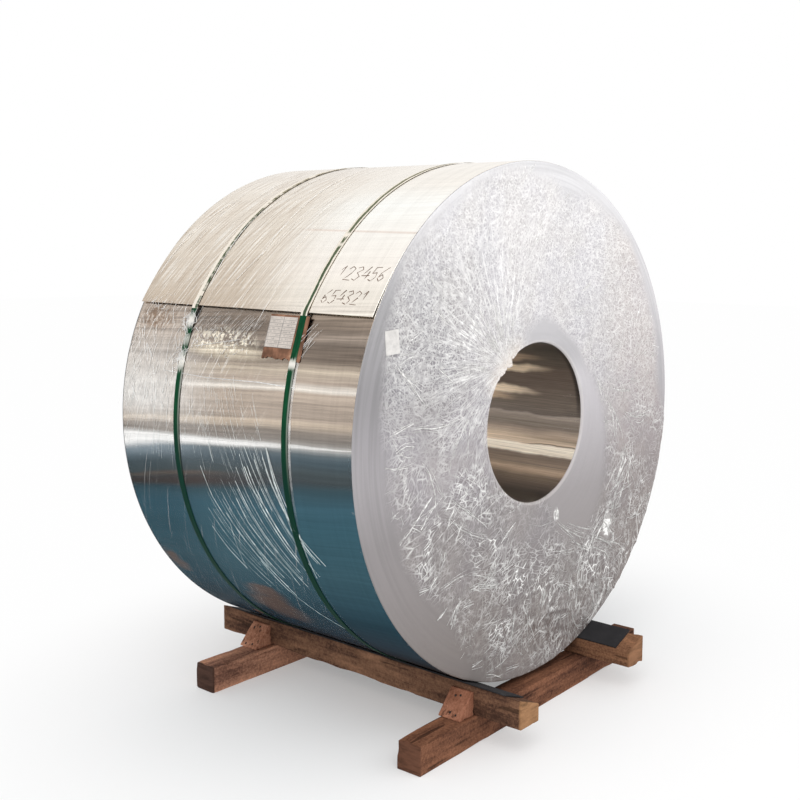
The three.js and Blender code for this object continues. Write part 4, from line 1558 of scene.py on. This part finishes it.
# Lines pulled into the girth's film: (angle, x from the coil's middle) along each.
PULLED_LINES = (
    ((180.7, 0.173), (186.8, 0.197), (191.8, 0.223), (198.0, 0.245), (203.4, 0.309)),
    ((187.1, -0.124), (193.3, -0.092), (199.1, -0.042), (210.6, -0.058)),
    ((192.5, 0.019), (197.5, 0.047), (202.9, 0.100), (207.6, 0.150), (211.4, 0.170)),
    ((182.9, 0.058), (188.4, 0.085), (193.2, 0.144), (200.4, 0.199)),
    ((181.1, 0.081), (188.7, 0.135), (193.3, 0.168)),
    ((200.9, -0.136), (206.0, -0.101), (210.6, -0.058)),
    ((202.1, 0.036), (209.1, 0.070), (215.5, 0.116)),
    ((207.4, 0.040), (214.5, 0.092), (220.7, 0.167), (226.1, 0.253)),
    ((197.7, 0.262), (207.3, 0.270)),
    ((113.8, -0.183), (131.8, -0.218), (152.1, -0.206)),
    ((107.2, -0.058), (124.0, -0.046), (139.9, -0.051), (151.9, -0.134)),
    ((123.3, -0.411), (135.0, -0.469), (146.0, -0.480)),
    ((156.3, -0.248), (162.0, -0.232), (166.6, -0.306)),
    ((162.1, -0.175), (160.0, 0.002)),
    ((168.0, -0.298), (168.4, -0.100), (168.0, 0.120), (168.2, 0.268)),
)


def fold_line(chance, places, breadth):
    """A fold through (angle, x) places, as rows of angle, x, length, heading, breadth."""
    rows = []
    for (angle, x), (next_angle, next_x) in zip(places, places[1:]):
        arc, shift = COIL_RADIUS * math.radians(next_angle - angle), next_x - x
        rows.append((angle + 0.5 * (next_angle - angle), x + 0.5 * shift,
                     1.08 * math.hypot(arc, shift), math.atan2(shift, arc),
                     breadth * chance.uniform(0.7, 1.2)))
    return rows


# Loose shreds of film: how many, how their angle and x are drawn, and between which lengths,
# headings and breadths they lie.
SHREDS = (
    (45, ("normal", 153.4, 1.3), ("uniform", -0.46, -0.26),
     (0.006, 0.020), (-1.4, 1.4), (0.0006, 0.0015)),
    (60, ("normal", 157.0, 1.2), ("normal", -0.243, 0.016),
     (0.008, 0.030), (-1.2, 1.2), (0.0010, 0.0026)),
    (60, ("normal", 164.5, 1.8), ("normal", -0.243, 0.016),
     (0.008, 0.030), (-1.2, 1.2), (0.0010, 0.0026)),
    (90, ("normal", 160.8, 1.6), ("uniform", -0.20, 0.06),
     (0.004, 0.016), (-1.5, 1.5), (0.0007, 0.0018)),
    (110, ("uniform", 155, 176), ("uniform", -0.49, -0.27),
     (0.010, 0.060), (-0.5, 0.7), (0.0007, 0.0020)),
)


def straight_fold(chance, angle, x, step, slope, thin, thick):
    """A fold from a place over some degrees, x changing by the slope for each degree."""
    places = [(angle, x), (angle + step, x + slope * step)]
    return fold_line(chance, places, chance.uniform(thin, thick))


def fold_points(look):
    """Where each fold's pieces lie on the unrolled girth, and their sizes."""
    chance = np.random.default_rng(look.seed)
    rows = []
    for number, line in enumerate(PULLED_LINES):
        for beside in ((0.0, -0.006, 0.012) if number == 0 else (0.0,)):
            spread = [(angle, x + beside * (angle - 178) / 15) for angle, x in line]
            rows += fold_line(chance, spread, 0.0022 if beside or number else 0.0036)
    for share in np.linspace(0, 1, 31):
        start = 183 + 14 * share + chance.uniform(-3, 4)
        x = 0.17 - 0.31 * share + chance.uniform(-0.01, 0.01)
        places = [(start, x)]
        for unused in range(4):
            angle, x = places[-1]
            step = chance.uniform(3.0, 6.0)
            places.append((angle + step, x + step * (0.0062 + 0.00016 * (angle - 185))))
        breadth = chance.choice((0.0008, 0.0013, 0.0021, 0.0032)) * (1.25 - 0.95 * share)
        rows += fold_line(chance, places, breadth)
    for unused in range(40):
        angle, x = chance.uniform(100, 150), chance.uniform(-0.48, 0.12)
        slope = -0.0004 - 0.00011 * max(0, angle - 118)
        rows += straight_fold(chance, angle, x, chance.uniform(3, 9), slope, 0.0006, 0.0014)
    for unused in range(150):
        angle, x = chance.uniform(167, 183), chance.uniform(-0.49, 0.14)
        slope = 0.006 + 0.027 * min(x, 0.0)
        rows += straight_fold(chance, angle, x, chance.uniform(1.5, 6), slope, 0.0005, 0.0010)
    for unused in range(80):
        angle, x = chance.uniform(154.3, 158.5), chance.uniform(-0.19, 0.10)
        step, slope = chance.uniform(1.2, 3.5), chance.uniform(-0.014, -0.009)
        rows += straight_fold(chance, angle, x, step, slope, 0.0004, 0.0007)
    for unused in range(11):
        angle, x = chance.uniform(155, 161), chance.uniform(0.27, 0.33)
        step = chance.uniform(1.5, 4)
        bent = [(angle, x), (angle + step, x - 0.012 * step), (angle + 2 * step, x - 0.017 * step)]
        rows += fold_line(chance, bent, chance.uniform(0.0006, 0.0014))
    for count, angle, x, reach, heading, breadth in SHREDS:
        for unused in range(count):
            where = [getattr(chance, kind)(a, b) for kind, a, b in (angle, x)]
            rows.append((*where, *(chance.uniform(*ends) for ends in (reach, heading, breadth))))
    angle, x, reach, heading, breadth = np.array(rows).T
    arc = COIL_RADIUS * np.radians(angle - TAIL_ANGLE)
    over_strap = smooth(0.022, 0.014, np.abs(x - BACK_STRAP)) * smooth(172, 169, angle)
    over_strap = 0.0017 * over_strap
    points = np.stack([arc, MIDDLE + x, film_outside(angle) - COIL_RADIUS + over_strap], -1)
    return points, sliver_sizes(reach, heading, breadth, breadth * 0.6)


# A plain numeral's strokes, as (across, up) in a box one high.
NUMERALS = {
    "1": (((0.05, 0.75), (0.28, 1.0), (0.22, 0.0)),),
    "2": (((0.0, 0.8), (0.2, 1.0), (0.48, 0.85), (0.38, 0.5), (0.0, 0.03), (0.55, 0.0)),),
    "3": (((0.0, 0.9), (0.3, 1.0), (0.48, 0.8), (0.15, 0.55), (0.5, 0.3), (0.3, 0.0), (0.0, 0.1)),),
    "4": (((0.35, 1.0), (0.0, 0.35), (0.58, 0.38)), ((0.45, 0.65), (0.38, 0.0))),
    "5": (((0.52, 1.0), (0.12, 0.97), (0.05, 0.55), (0.4, 0.6), (0.48, 0.25), (0.25, 0.0),
           (0.0, 0.1)),),
    "6": (((0.45, 1.0), (0.1, 0.6), (0.02, 0.2), (0.25, 0.0), (0.46, 0.25), (0.25, 0.48),
           (0.05, 0.3)),),
}

# Rows of numerals on the free end: their left edge from the coil's middle, the angle of their foot
# and their height.
MARKS = (("123456", 0.300, 146.0, 0.045), ("654321", 0.285, 151.3, 0.042))


def mark_points():
    """Where each stroke of the marker lies on the unrolled free end, and its size."""
    chance = np.random.default_rng(3)
    rows = []
    for numerals, left, foot, height in MARKS:
        for place, numeral in enumerate(numerals):
            for stroke in NUMERALS[numeral]:
                places = [(foot - math.degrees(up * height / COIL_RADIUS),
                           left + (0.68 * place + across + 0.2 * up) * height)
                          for across, up in stroke]
                rows += fold_line(chance, places, 0.0024)
    angle, x, reach, heading, breadth = np.array(rows).T
    arc = COIL_RADIUS * np.radians(angle - TAIL_ANGLE)
    points = np.stack([arc, MIDDLE + x, outermost_turn(angle) + 0.0001 - COIL_RADIUS], -1)
    return points, sliver_sizes(reach, heading, breadth, 0.0004 + 0 * breadth)


# ---- card, label and sticker -----------------------------------------------------------------
def laid_sheet(name, node, start, span, under, thickness, ragged=0.0, seed=5):
    """A sheet on the film below the free edge, as wide as its solid; ragged if it is torn below."""
    low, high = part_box(node)
    inset = 0.0 if ragged == 0.0 else 0.001
    x = np.linspace(low.x + inset, high.x - inset, 60) - MIDDLE
    share = np.linspace(0, 1, 48)[:, None]
    tears = lattice_noise(np.stack([x * 60, 0 * x, 0 * x], -1), seed)
    tears = tears + 0.5 * lattice_noise(np.stack([x * 190, 0 * x, 0 * x], -1), seed + 1)
    angles = TAIL_ANGLE + start + share * (span - ragged * (0.6 - 0.4 * tears))
    wave = 0.0004 * np.sin(x * 90) * share
    seat = film_outside(angles) + under
    over = on_coil(angles, seat + thickness + wave, x)
    return slab_mesh(name, over, on_coil(angles, seat + wave + 0 * x, x))


STICKER_SIZE, STICKER_TURN = (0.051, 0.065), math.radians(4.0)


def sticker_mesh(bow=0.0022):
    """A stiff little sheet, stuck by its middle, whose corners lift."""
    low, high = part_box("end_sticker")
    middle_y, middle_z = (low.y + high.y) / 2, (low.z + high.z) / 2
    u, v = np.meshgrid(np.linspace(-1, 1, 15), np.linspace(-1, 1, 19), indexing="ij")
    lift = bow * (0.7 * np.clip(u, 0, 1) ** 2 * (1 - 0.5 * v) + 0.3 * v ** 2)
    across, up = u * STICKER_SIZE[0] / 2, v * STICKER_SIZE[1] / 2
    cosine, sine = math.cos(STICKER_TURN), math.sin(STICKER_TURN)
    y = middle_y + across * cosine - up * sine
    z = middle_z + across * sine + up * cosine
    over = np.stack([high.x + lift, y, z], -1)
    return slab_mesh("sticker_sheet", over, over - (0.0004, 0.0, 0.0))


# ---- skid ------------------------------------------------------------------------------------
def worn_mesh(node, name, step, rounding, wear, seed, along=0):
    """A copy of a solid's mesh, cut fine, its edges rounded and chipped, its skin uneven."""
    shape = bmesh.new()
    shape.from_mesh(bpy.data.objects[node].data)
    bmesh.ops.remove_doubles(shape, verts=shape.verts, dist=1e-5)
    one_degree = math.radians(1)
    bmesh.ops.dissolve_limit(shape, angle_limit=one_degree, verts=shape.verts, edges=shape.edges)
    planes = [(np.array(face.normal), np.array(face.calc_center_median())) for face in shape.faces]
    bmesh.ops.bevel(shape, geom=shape.edges[:], offset=rounding, segments=2, profile=0.6,
                    affect="EDGES")
    low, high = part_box(node)
    for axis in range(3):
        normal = Vector([float(axis == i) for i in range(3)])
        stride = step * (1.4 if axis == along else 1.0)
        for cut in np.arange(low[axis] + step / 2, high[axis], stride):
            everything = shape.verts[:] + shape.edges[:] + shape.faces[:]
            bmesh.ops.bisect_plane(shape, geom=everything, plane_co=normal * cut, plane_no=normal)
    shape.normal_update()
    points = np.array([vertex.co for vertex in shape.verts])
    normals = np.array([vertex.normal for vertex in shape.verts])
    away = np.sort([np.abs((points - centre) @ normal) for normal, centre in planes], axis=0)[1]
    stretch = np.full(3, 70.0)
    stretch[along] = 13.0
    chips = smooth(0.25, 0.8, lattice_noise(points * stretch, seed)) * smooth(0.014, 0.002, away)
    sawn = 0.5 + 0.5 * lattice_noise(points * 26.0, seed + 1)
    moved = points - normals * (wear * chips + 0.0008 * sawn)[:, None]
    for vertex, place in zip(shape.verts, moved):
        vertex.co = place
    mesh = bpy.data.meshes.new(name)
    shape.to_mesh(mesh)
    shape.free()
    return mesh


# Each timber's long axis, its tone, and the colours of its two cut ends. The back beam's tone is
# painted far lighter, to make up for the shade it lies in under the coil.
TIMBERS = {
    "runner_near": (0, (1.0, 0.97, 0.97), paint(110, 84, 66), paint(152, 114, 82)),
    "runner_far": (0, (1.25, 1.15, 1.05), paint(120, 92, 72), paint(132, 96, 71)),
    "beam_front": (1, (1.02, 0.84, 0.80), paint(98, 66, 51), paint(112, 78, 60)),
    "beam_back": (1, (2.3, 2.15, 2.3), paint(72, 52, 44), paint(96, 72, 58)),
}
WEDGE_TONES = {"front": (0.68, 0.62, 0.66), "back": (1.25, 1.32, 1.5)}

# A nail's place on a wedge: out from its middle along X, and how far down the slope.
WEDGE_WALL, WEDGE_TOE = 0.008, 0.004             # upright parts at the wedge's back and at its toe
BACK_NAILS = ((-0.019, 0.23), (0.005, 0.15), (-0.018, 0.90), (0.013, 0.86))
FRONT_NAILS = ((-0.011, 0.25), (0.006, 0.20), (-0.004, 0.82), (0.019, 0.86))


def nail_places(side):
    """Points on the slopes of both wedges beside one runner, and the slope's tilt."""
    places = []
    for end, spots in (("front", FRONT_NAILS), ("back", BACK_NAILS)):
        low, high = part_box("chock_" + ("near_" if side < 0 else "far_") + end)
        wall, toe = min(abs(low.y), abs(high.y)), max(abs(low.y), abs(high.y))
        middle = (low.x + high.x) / 2
        for out, down in spots:
            y = wall + WEDGE_WALL + down * (toe - wall - WEDGE_WALL)
            places.append((middle + out, side * y, high.z + down * (low.z + WEDGE_TOE - high.z)))
    tilt = math.atan2(high.z - low.z - WEDGE_TOE, toe - wall - WEDGE_WALL)
    return places, -side * tilt


# ---- operators -------------------------------------------------------------------------------
class COIL_OT_strip(bpy.types.Operator):
    """Builds the coil of strip, with its bore and its free end"""

    bl_idname = "coil.strip"
    bl_label = "Strip coil"

    def execute(self, context):
        look = context.scene.coil_settings
        mesh = coil_mesh(look.facet, look.bore_radius)
        coil = make_object("strip_coil", mesh, girth_metal(look), bore_metal(), turn_ends())
        settle(coil, "strip_metal", "coil")
        points, sizes = mark_points()
        marks = grow("marker_strokes", points, sizes, wrapped_folds(), **ROUND_THE_COIL,
                     Material=marker_ink(look))
        settle(marks, "strip_metal")
        return {"FINISHED"}


class COIL_OT_discs(bpy.types.Operator):
    """Builds the round boards over both ends"""

    bl_idname = "coil.discs"
    bl_label = "End discs"

    def execute(self, context):
        material = disc_board(context.scene.wrap_settings)
        hole = context.scene.coil_settings.bore_radius + HOLE_ROOM
        for end, side in (("front", 1), ("back", -1)):
            name = "disc_" + end
            mesh = rounded_ring(name, side, HALF_STRIP + GAP, DISC_FACE, hole, DISC_RADIUS)
            settle(make_object(name, mesh, material), "grey_disc", "end_disc_" + end)
        return {"FINISHED"}


class COIL_OT_end_films(bpy.types.Operator):
    """Builds the crinkled film over both ends"""

    bl_idname = "coil.end_films"
    bl_label = "Film on the ends"

    def execute(self, context):
        look = context.scene.wrap_settings
        bore = context.scene.coil_settings.bore_radius
        materials = (face_film(look), clear_film(look))
        sharp = fold_film(look, "fold_film", 0.5, 0.5, scaled(look.crease, 0.80))
        tree = flat_folds()
        for end, side, bundles in (("front", 1, 150), ("back", -1, 80)):
            mesh = end_film_mesh("wrap_" + end, side, look, bore)
            settle(make_object("wrap_" + end, mesh, *materials), "stretch_film", "film_" + end)
            points, sizes = face_folds(look, side, bore, bundles)
            folds = grow("folds_" + end, points, sizes, tree, Face=MIDDLE + side * FILM_FACE,
                         Axis_Height=AXIS, Material=sharp)
            settle(folds, "stretch_film")
        return {"FINISHED"}


class COIL_OT_girth_film(bpy.types.Operator):
    """Builds the film round the girth and the folds pulled into it"""

    bl_idname = "coil.girth_film"
    bl_label = "Film on the girth"

    def execute(self, context):
        look = context.scene.wrap_settings
        mesh = girth_film_mesh("wrap_girth", look.seed)
        settle(make_object("wrap_girth", mesh, girth_film(look)), "stretch_film", "film_girth")
        points, sizes = fold_points(look)
        sharp = fold_film(look, "girth_fold_film", 0.6, 0.25, paint(222, 246, 248))
        folds = grow("girth_folds", points, sizes, wrapped_folds(), **ROUND_THE_COIL,
                     Material=sharp)
        settle(folds, "stretch_film")
        return {"FINISHED"}


class COIL_OT_straps(bpy.types.Operator):
    """Builds both straps round the girth"""

    bl_idname = "coil.straps"
    bl_label = "Girth straps"

    def execute(self, context):
        for end in ("front", "back"):
            low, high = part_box("strap_" + end)
            width = high.x - low.x
            material = strap_plastic(context.scene.wrap_settings, end, low.x + width / 2, width / 2)
            stations = low.x - MIDDLE + width * STRAP_STATIONS
            lift = card_lift if end == "front" else np.zeros_like

            def seat(angles, lift=lift):
                return film_outside(angles) + GAP + lift(angles)

            mesh = strap_mesh("band_" + end, seat, stations)
            settle(make_object("band_" + end, mesh, material), "green_strap", "strap_" + end)
        return {"FINISHED"}


class COIL_OT_labels(bpy.types.Operator):
    """Builds the brown card, the label on it and the sticker on the front"""

    bl_idname = "coil.labels"
    bl_label = "Card, label and sticker"

    def execute(self, context):
        look = context.scene.wrap_settings
        card = laid_sheet("card_sheet", "label_card", CARD_START, CARD_SPAN,
                          GAP, CARD_THICKNESS, ragged=1.1)
        settle(make_object("card_sheet", card, card_board(look)), "brown_card", "label_card")
        label = laid_sheet("label_table", "label_sheet", LABEL_START, LABEL_SPAN,
                           GAP + CARD_THICKNESS + GAP, LABEL_THICKNESS)
        settle(make_object("label_table", label, label_paper(look)), "white_label", "label_sheet")
        sticker = make_object("sticker_sheet", sticker_mesh(), sticker_paper(look))
        settle(sticker, "white_label", "end_sticker")
        return {"FINISHED"}


class COIL_OT_timber(bpy.types.Operator):
    """Builds the runners and beams of the skid, rough-sawn and worn"""

    bl_idname = "coil.timber"
    bl_label = "Skid timber"

    def execute(self, context):
        look = context.scene.skid_settings
        for seed, (node, (along, tone, low_cut, high_cut)) in enumerate(TIMBERS.items()):
            low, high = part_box(node)
            ends = ((low[along], low_cut), (high[along], high_cut))
            material = sawn_timber("timber_" + node, look.timber_dark, look.timber_light, along,
                                   tone=tone, ends=ends)
            mesh = worn_mesh(node, "worn_" + node, 0.011, 0.003, look.wear, 20 + 3 * seed, along)
            settle(make_object("worn_" + node, mesh, material), "timber", node)
        return {"FINISHED"}


class COIL_OT_wedges(bpy.types.Operator):
    """Builds the wedges beside the runners and the nails through them"""

    bl_idname = "coil.wedges"
    bl_label = "Wedges and nails"

    def execute(self, context):
        look = context.scene.skid_settings
        steel = nail_steel(look)
        woods = {end: sawn_timber("wedge_wood_" + end, look.wedge_dark, look.wedge_light, 2,
                                  1.3, 0.8, tone) for end, tone in WEDGE_TONES.items()}
        for seed, (side, end) in enumerate(itertools.product(("near", "far"), WEDGE_TONES)):
            name = f"{side}_{end}"
            mesh = worn_mesh("chock_" + name, "wedge_" + name, 0.007, 0.0014, look.wear * 0.4,
                             50 + 3 * seed)
            wedge = make_object("wedge_" + name, mesh, woods[end])
            settle(wedge, "chock_wood", "chock_" + name)
        for name, side in (("near", -1), ("far", 1)):
            places, tilt = nail_places(side)
            nails = grow("nails_" + name, places, {}, nail_heads(), Radius=look.nail_radius,
                         Tilt=tilt, Material=steel)
            settle(nails, "strip_metal")
        return {"FINISHED"}


class COIL_OT_mats(bpy.types.Operator):
    """Builds the rubber mats between the coil and the runners"""

    bl_idname = "coil.mats"
    bl_label = "Rubber mats"

    def execute(self, context):
        look = context.scene.skid_settings
        material = rubber_mat(look)
        for seed, node in enumerate(("mat_near", "mat_far")):
            mesh = worn_mesh(node, "rubber_" + node, 0.012, 0.001, 0.0008, 70 + seed)
            settle(make_object("rubber_" + node, mesh, material), "rubber", node)
        return {"FINISHED"}


# Each large lamp's place and width. They face a point near the coil's middle.
LAMPS = {"key": ((3.2, -3.4, 5.2), 4.5), "fill": ((4.6, 1.2, 2.6), 3.5)}
LAMP_TARGET = Vector((0.0, 0.0, 0.9))
BORE_LAMPS = np.linspace(-0.45, 0.33, 5)         # their X
CAMERA_PLACE = Vector((2.4334, -2.7387, 1.4691))
CAMERA_ANGLES = (37.0379, 6.6330, 0.7440)        # round the coil, up and tilted, in degrees
CAMERA_LENS = 48.915                             # millimetres, on a sensor 36 wide
CAMERA_SHIFT = (-0.1423, -0.0345)
FLOOR_REACH, FLOOR_TILES = 24.0, 24
FLOOR_LEVEL = -0.0004


def large_lamp(name, power):
    """A square soft lamp that faces the coil."""
    spot, width = LAMPS[name]
    data = bpy.data.lights.new(name, "AREA")
    data.shape, data.size, data.energy = "SQUARE", width, power
    turned = (Vector(spot) - LAMP_TARGET).to_track_quat("Z", "Y").to_matrix().to_4x4()
    put(name, data).matrix_world = Matrix.Translation(spot) @ turned


def bore_lamp(name, x, power):
    """A small lamp on the coil's axis, which isn't seen itself."""
    data = bpy.data.lights.new(name, "POINT")
    data.energy, data.shadow_soft_size = power, 0.05
    made = put(name, data)
    made.location = (x, 0.0, AXIS)
    made.visible_camera = made.visible_glossy = False


def floor_mesh():
    """A flat grid of large tiles, just under the skid."""
    edges = np.linspace(-FLOOR_REACH, FLOOR_REACH, FLOOR_TILES + 1)
    x, y = np.meshgrid(edges, edges, indexing="ij")
    points = np.stack([x, y, 0 * x + FLOOR_LEVEL], -1).reshape(-1, 3)
    faces = grid_faces(FLOOR_TILES, FLOOR_TILES, FLOOR_TILES + 1, FLOOR_TILES + 1)
    mesh = bpy.data.meshes.new("floor")
    mesh.from_pydata(points.tolist(), [], faces.tolist())
    return mesh


def light_room(scene, look):
    """White all round to look at and to mirror, and a softer light to see by."""
    scene.world = bpy.data.worlds.new("room")
    scene.world.use_nodes = True
    net = Wiring(scene.world.node_tree)
    path = net.add("ShaderNodeLightPath").outputs
    seen = net.maximum(path["Is Camera Ray"], path["Is Glossy Ray"])
    seen = net.maximum(seen, path["Is Transmission Ray"])
    strength = net.node("ShaderNodeMapRange", {"Value": seen, "To Min": look.sky})
    background = net.tree.nodes["Background"].inputs
    net.plug(background["Color"], (1.0, 1.0, 1.0))
    net.plug(background["Strength"], strength)


def floor_white(look):
    """A pale floor that takes the shadow near the object and fades to white away from it."""
    net = Net("floor_white", Base_Color=look.floor, Roughness=0.9, Specular_IOR_Level=0.1)
    x, y, unused = net.split(net.point())
    away = net.vector("LENGTH", net.join(x, y * 0.85))
    share = net.range(away, 0.6, 1.6, 0.30, 0.97)
    net.bump(net.noise(net.point(), 3.0), 0.0004, 0.05)
    glow = net.node("Emission", {"Color": (1.0, 1.0, 1.0), "Strength": 1.0})
    both = net.node("MixShader", {0: share, 1: net.shader.outputs[0], 2: glow})
    net.plug(net.tree.nodes["Material Output"].inputs["Surface"], both)
    return net.material


def camera_turn(azimuth, elevation, roll):
    """How the camera is turned: its right, up and back as a matrix's columns, from its angles."""
    turn, rise, tilt = (math.radians(a) for a in (azimuth, elevation, roll))
    level = math.cos(rise)
    back = Vector((math.sin(turn) * level, -math.cos(turn) * level, math.sin(rise)))
    right = (-back).cross(Vector((0, 0, 1))).normalized()
    up = right.cross(-back)
    cosine, sine = math.cos(tilt), math.sin(tilt)
    axes = (right * cosine + up * sine, up * cosine - right * sine, back)
    return Matrix(axes).transposed().to_4x4()


def place_camera(scene):
    data = bpy.data.cameras.new("camera")
    data.sensor_width, data.lens, data.clip_end = 36.0, CAMERA_LENS, 100.0
    data.shift_x, data.shift_y = CAMERA_SHIFT
    scene.camera = put("camera", data)
    scene.camera.matrix_world = Matrix.Translation(CAMERA_PLACE) @ camera_turn(*CAMERA_ANGLES)


class COIL_OT_stage(bpy.types.Operator):
    """Sets the floor, the lamps, the sky and the camera"""

    bl_idname = "coil.stage"
    bl_label = "Stage"

    def execute(self, context):
        scene = context.scene
        look = scene.studio_settings
        floor = make_object("floor", floor_mesh(), floor_white(look))
        large_lamp("key", look.key)
        large_lamp("fill", look.fill)
        for number, x in enumerate(BORE_LAMPS):
            bore_lamp("bore_" + str(number), x, look.inner)
        light_room(scene, look)
        place_camera(scene)
        scene.view_settings.view_transform = "Standard"
        return {"FINISHED"}


OPERATORS = (COIL_OT_strip, COIL_OT_discs, COIL_OT_end_films, COIL_OT_girth_film, COIL_OT_straps,
             COIL_OT_labels, COIL_OT_timber, COIL_OT_wedges, COIL_OT_mats, COIL_OT_stage)
SETTINGS = {"coil_settings": CoilSettings, "wrap_settings": WrapSettings,
            "skid_settings": SkidSettings, "studio_settings": StudioSettings}


class COIL_PT_builder(bpy.types.Panel):
    """Lists the sizes, the colours and the pieces"""

    bl_label = "Packed strip coil"
    bl_idname = "COIL_PT_builder"
    bl_space_type = "VIEW_3D"
    bl_region_type = "UI"
    bl_category = "Coil"

    def draw(self, context):
        for owner, group in SETTINGS.items():
            box = self.layout.box()
            box.label(text=group.__doc__)
            for name in group.__annotations__:
                box.prop(getattr(context.scene, owner), name)
        for operator in OPERATORS:
            self.layout.operator(operator.bl_idname)


def register():
    for group in (*SETTINGS.values(), *OPERATORS, COIL_PT_builder):
        bpy.utils.register_class(group)
    for owner, group in SETTINGS.items():
        setattr(bpy.types.Scene, owner, PointerProperty(type=group))


def unregister():
    for owner in SETTINGS:
        delattr(bpy.types.Scene, owner)
    for group in (COIL_PT_builder, *reversed(OPERATORS), *reversed(SETTINGS.values())):
        bpy.utils.unregister_class(group)


def main():
    """Registers the builder's classes and builds every piece in turn."""
    register()
    for operator in OPERATORS:
        area, name = operator.bl_idname.split(".")
        getattr(getattr(bpy.ops, area), name)()


if __name__ == "__main__":
    main()
